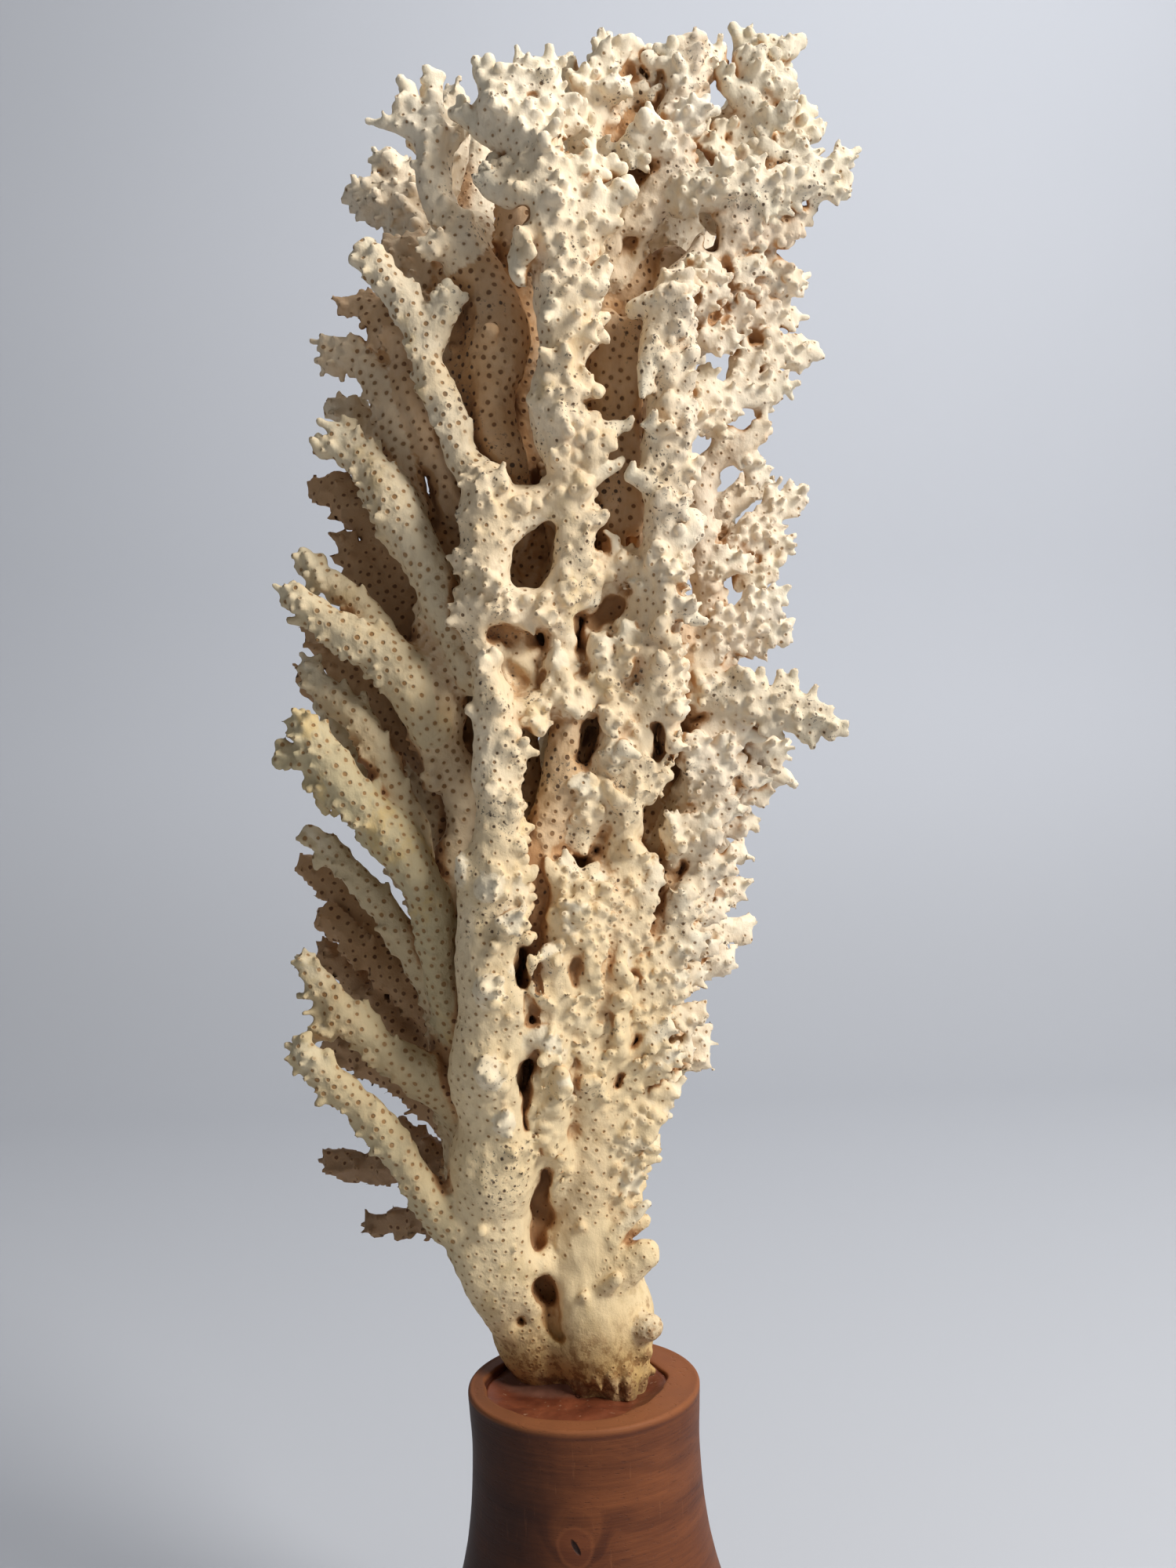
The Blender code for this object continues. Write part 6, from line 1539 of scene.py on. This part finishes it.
# Painted shade: the lower left of the fan is darkened by its place on the object.
left_fan = across.between(-0.020, -0.034) * (height + patch * 0.04).between(0.29, 0.24)
foot_stain = (height + patch * 0.016).between(0.123, 0.104) * (0.35 + patch * 1.1)
boss_stain = across.between(0.009, 0.014) * (height + patch * 0.02).between(0.136, 0.124)
wax_line = (height + patch * 0.006).between(0.1005, 0.0965) * mottle.between(0.3, 0.6)
mould = (height + broad * 0.03).between(0.150, 0.126) * patch.between(0.5, 0.68)
lime = layered(
    mixed(broad.between(0.32, 0.68), rgb(230, 208, 172), rgb(240, 223, 194)),
    (patch.between(0.52, 0.72) * 0.65, (226, 199, 148)),
    ((height + patch * 0.06).between(0.31, 0.17) * 0.75, (228, 204, 158)),
    (across.between(0.014, 0.034) * 0.6, (234, 222, 204)),
    # Painted shade of the lower left fan.
    (left_fan * 0.6, (192, 174, 138)),
    # Painted highlight: the top of the colony is made paler.
    ((height + patch * 0.04).between(0.34, 0.38) * 0.5, (243, 234, 214)),
    (tip * 0.8, (238, 227, 202)),
    # Greenish grey on the left fan's branches, darkened in part as painted shade.
    (green * (0.45 + broad * 0.5), (188, 174, 136)),
    (green.between(0.9, 1.0) * patch.between(0.5, 0.66) * 0.5, (212, 180, 112)),
    (stain_and_shade, (192, 149, 104)),
    # Painted shade: deep brown in the deepest recesses.
    (recess.between(0.34, 0.62) * (0.55 + tan * 0.45) * 0.9, (120, 80, 50)),
    # Painted shade: a tan above 1 colours the branches behind the fan dark grey-brown.
    ((tan - 1.0).between(0.0, 0.5) * 0.9, (146, 120, 96)),
    (foot_stain * 0.85, (190, 150, 78)),
    (foot_stain * mottle.between(0.46, 0.60) * 0.9, (138, 96, 50)),
    (boss_stain * mottle.between(0.5, 0.66) * 0.7, (158, 122, 84)),
    (wax_line * 0.8, (104, 66, 42)),
    (mould * 0.4, (176, 150, 104)),
    (streak.between(0.5, 0.74) * 0.16, (168, 132, 96)),
    (collar * (0.12 + tan * 0.1), (196, 152, 104)))
# The dot's brown, deeper in the recesses: in part painted shade of each pore and of the recess.
brown = mixed(stain_and_shade, rgb(148, 108, 62), rgb(92, 56, 32))
skin = layered(
    mixed(dot * (0.62 + patch * 0.5 - standing * 0.35), lime, brown),
    (dot * front * dirt_area * 0.8, (70, 62, 56)),
    (dirt.between(0.60, 0.66) * dirt_area * front * 0.8, (98, 90, 80)))
normal = bumped(broad * 0.2 + patch * 0.35 + fine * 0.3 + streak * 0.2, 0.0007, 0.6)
normal = bumped(dot, -0.0003, 0.7, normal)
normal = bumped(collar, 0.00018, 0.6, normal)
dress(shader, Base_Color=skin, Roughness=0.7 + fine * 0.2 - tip * 0.05, Normal=normal,
       Specular_IOR_Level=0.28)

for number, name in enumerate(forks):
    mine = fork_ids == number
    used, faces = np.unique(quads[mine], return_inverse=True)
    faces = faces.reshape(-1, 4)
    kept = np.ones(faces.shape, bool)
    kept[:, 3] = faces[:, 3] != faces[:, 2]
    starts = np.concatenate([[0], np.cumsum(kept.sum(1))[:-1]])
    mesh = bpy.data.objects[name + "_skin"].data
    mesh.vertices.add(len(used))
    mesh.vertices.foreach_set("co", (points[used] * MM).astype(np.float32).ravel())
    mesh.loops.add(int(kept.sum()))
    mesh.loops.foreach_set("vertex_index", faces[kept].astype(np.int32))
    mesh.polygons.add(len(faces))
    mesh.polygons.foreach_set("loop_start", starts.astype(np.int32))
    mesh.update(calc_edges=True)
    mesh.shade_smooth()
    near = nearest_calice[mine]
    for title, domain, rows in (
        ("calice", "FACE", place_of[near] * MM),
        ("calice_kind", "FACE", np.stack([size_of[near], stand_of[near], stand_of[near]], 1)),
        ("wear", "POINT", np.stack([shade, tip_at, front_at], 1)[used]),
        ("tint", "POINT", np.stack([tan_at, green_at, green_at], 1)[used]),
    ):
        made = mesh.attributes.new(title, "FLOAT_VECTOR", domain)
        made.data.foreach_set("vector", rows.astype(np.float32).ravel())
    mesh.normals_split_custom_set_from_vertices([tuple(n) for n in skin_normals[used]])
    mesh.materials.append(coral_skin)


# Studio: a plain pale floor that sweeps up behind, a soft key light from the front right and
# above, a weak fill from the left, one light overhead and one for the wall, and the camera
# where the photograph's was.
SWEEP_WIDTH = 4.8
SWEEP_FRONT, SWEEP_FAR, SWEEP_RISE, SWEEP_BEND = -2.2, 1.15, 1.9, 0.45
PHOTO_FOCUS, PHOTO_HEIGHT, SENSOR_HEIGHT = 1842, 2000, 36.0
PHOTO_ROLL = 2


def sweep():
    """Floor and wall in one sheet, with a wide curve between them."""
    bend_start = SWEEP_FAR - SWEEP_BEND
    line = [(SWEEP_FRONT, 0.0), (-1.0, 0.0), (0.0, 0.0), (bend_start, 0.0)]
    line += [(bend_start + SWEEP_BEND * math.sin(a), SWEEP_BEND - SWEEP_BEND * math.cos(a))
             for a in np.linspace(0.06, math.pi / 2, 22)]
    line += [(SWEEP_FAR, 1.1), (SWEEP_FAR, SWEEP_RISE)]
    sides = (-SWEEP_WIDTH / 2, SWEEP_WIDTH / 2)
    verts = [(x / MM, y / MM, z / MM) for y, z in line for x in sides]
    faces = [(2 * i, 2 * i + 1, 2 * i + 3, 2 * i + 2) for i in range(len(line) - 1)]
    return verts, faces


floor = new_piece("studio_sweep", *sweep())
pale, shader = start_material("studio_pale")
where = object_place()
tone = mixed(grain(where, 3.0, 2.0), rgb(206, 210, 217), rgb(211, 214, 221))
tone = layered(tone, (where.axis("Z").between(0.3, 0.0), (192, 195, 201)))
dress(shader, Base_Color=tone, Roughness=0.9)
floor.data.materials.append(pale)
floor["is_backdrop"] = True

for name, place, aim, size, power, colour in (
    ("key", (0.77, -0.53, 0.77), (0, 0, 0.22), 0.42, 12.8, (1.0, 0.975, 0.94)),
    ("fill", (-0.9, -0.7, 0.45), (0, 0, 0.2), 0.9, 0.45, (0.97, 0.98, 1.0)),
    ("top", (0.1, -0.1, 1.2), (0, 0, 0.3), 0.8, 1.6, (1.0, 0.99, 0.97)),
    ("wall", (0.55, 0.1, 1.5), (0.1, 1.15, 0.75), 1.0, 12.0, (0.99, 0.99, 1.0)),
):
    data = bpy.data.lights.new(name, "AREA")
    data.shape = "DISK"
    data.size = size
    data.energy = power
    data.color = colour
    light = bpy.data.objects.new(name, data)
    light.location = place
    light.rotation_euler = (Vector(aim) - Vector(place)).to_track_quat("-Z", "Y").to_euler()
    bpy.context.scene.collection.objects.link(light)

world = bpy.data.worlds.new("soft_room")
world.use_nodes = True
world.node_tree.nodes["Background"].inputs["Color"].default_value = (0.93, 0.95, 1.0, 1.0)
world.node_tree.nodes["Background"].inputs["Strength"].default_value = 0.11
bpy.context.scene.world = world
bpy.context.scene.view_settings.view_transform = "Standard"

camera = bpy.data.cameras.new("photo_camera")
camera.sensor_fit = "VERTICAL"
camera.sensor_height = SENSOR_HEIGHT
camera.lens = PHOTO_FOCUS / PHOTO_HEIGHT * SENSOR_HEIGHT
camera.clip_start = 0.01
eye = bpy.data.objects.new("photo_camera", camera)
eye.location = (VIEW_X * MM, -VIEW_DISTANCE * MM, VIEW_HEIGHT * MM)
eye.rotation_euler = (math.radians(90), math.radians(PHOTO_ROLL), 0)
bpy.context.scene.collection.objects.link(eye)
bpy.context.scene.camera = eye

low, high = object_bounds()
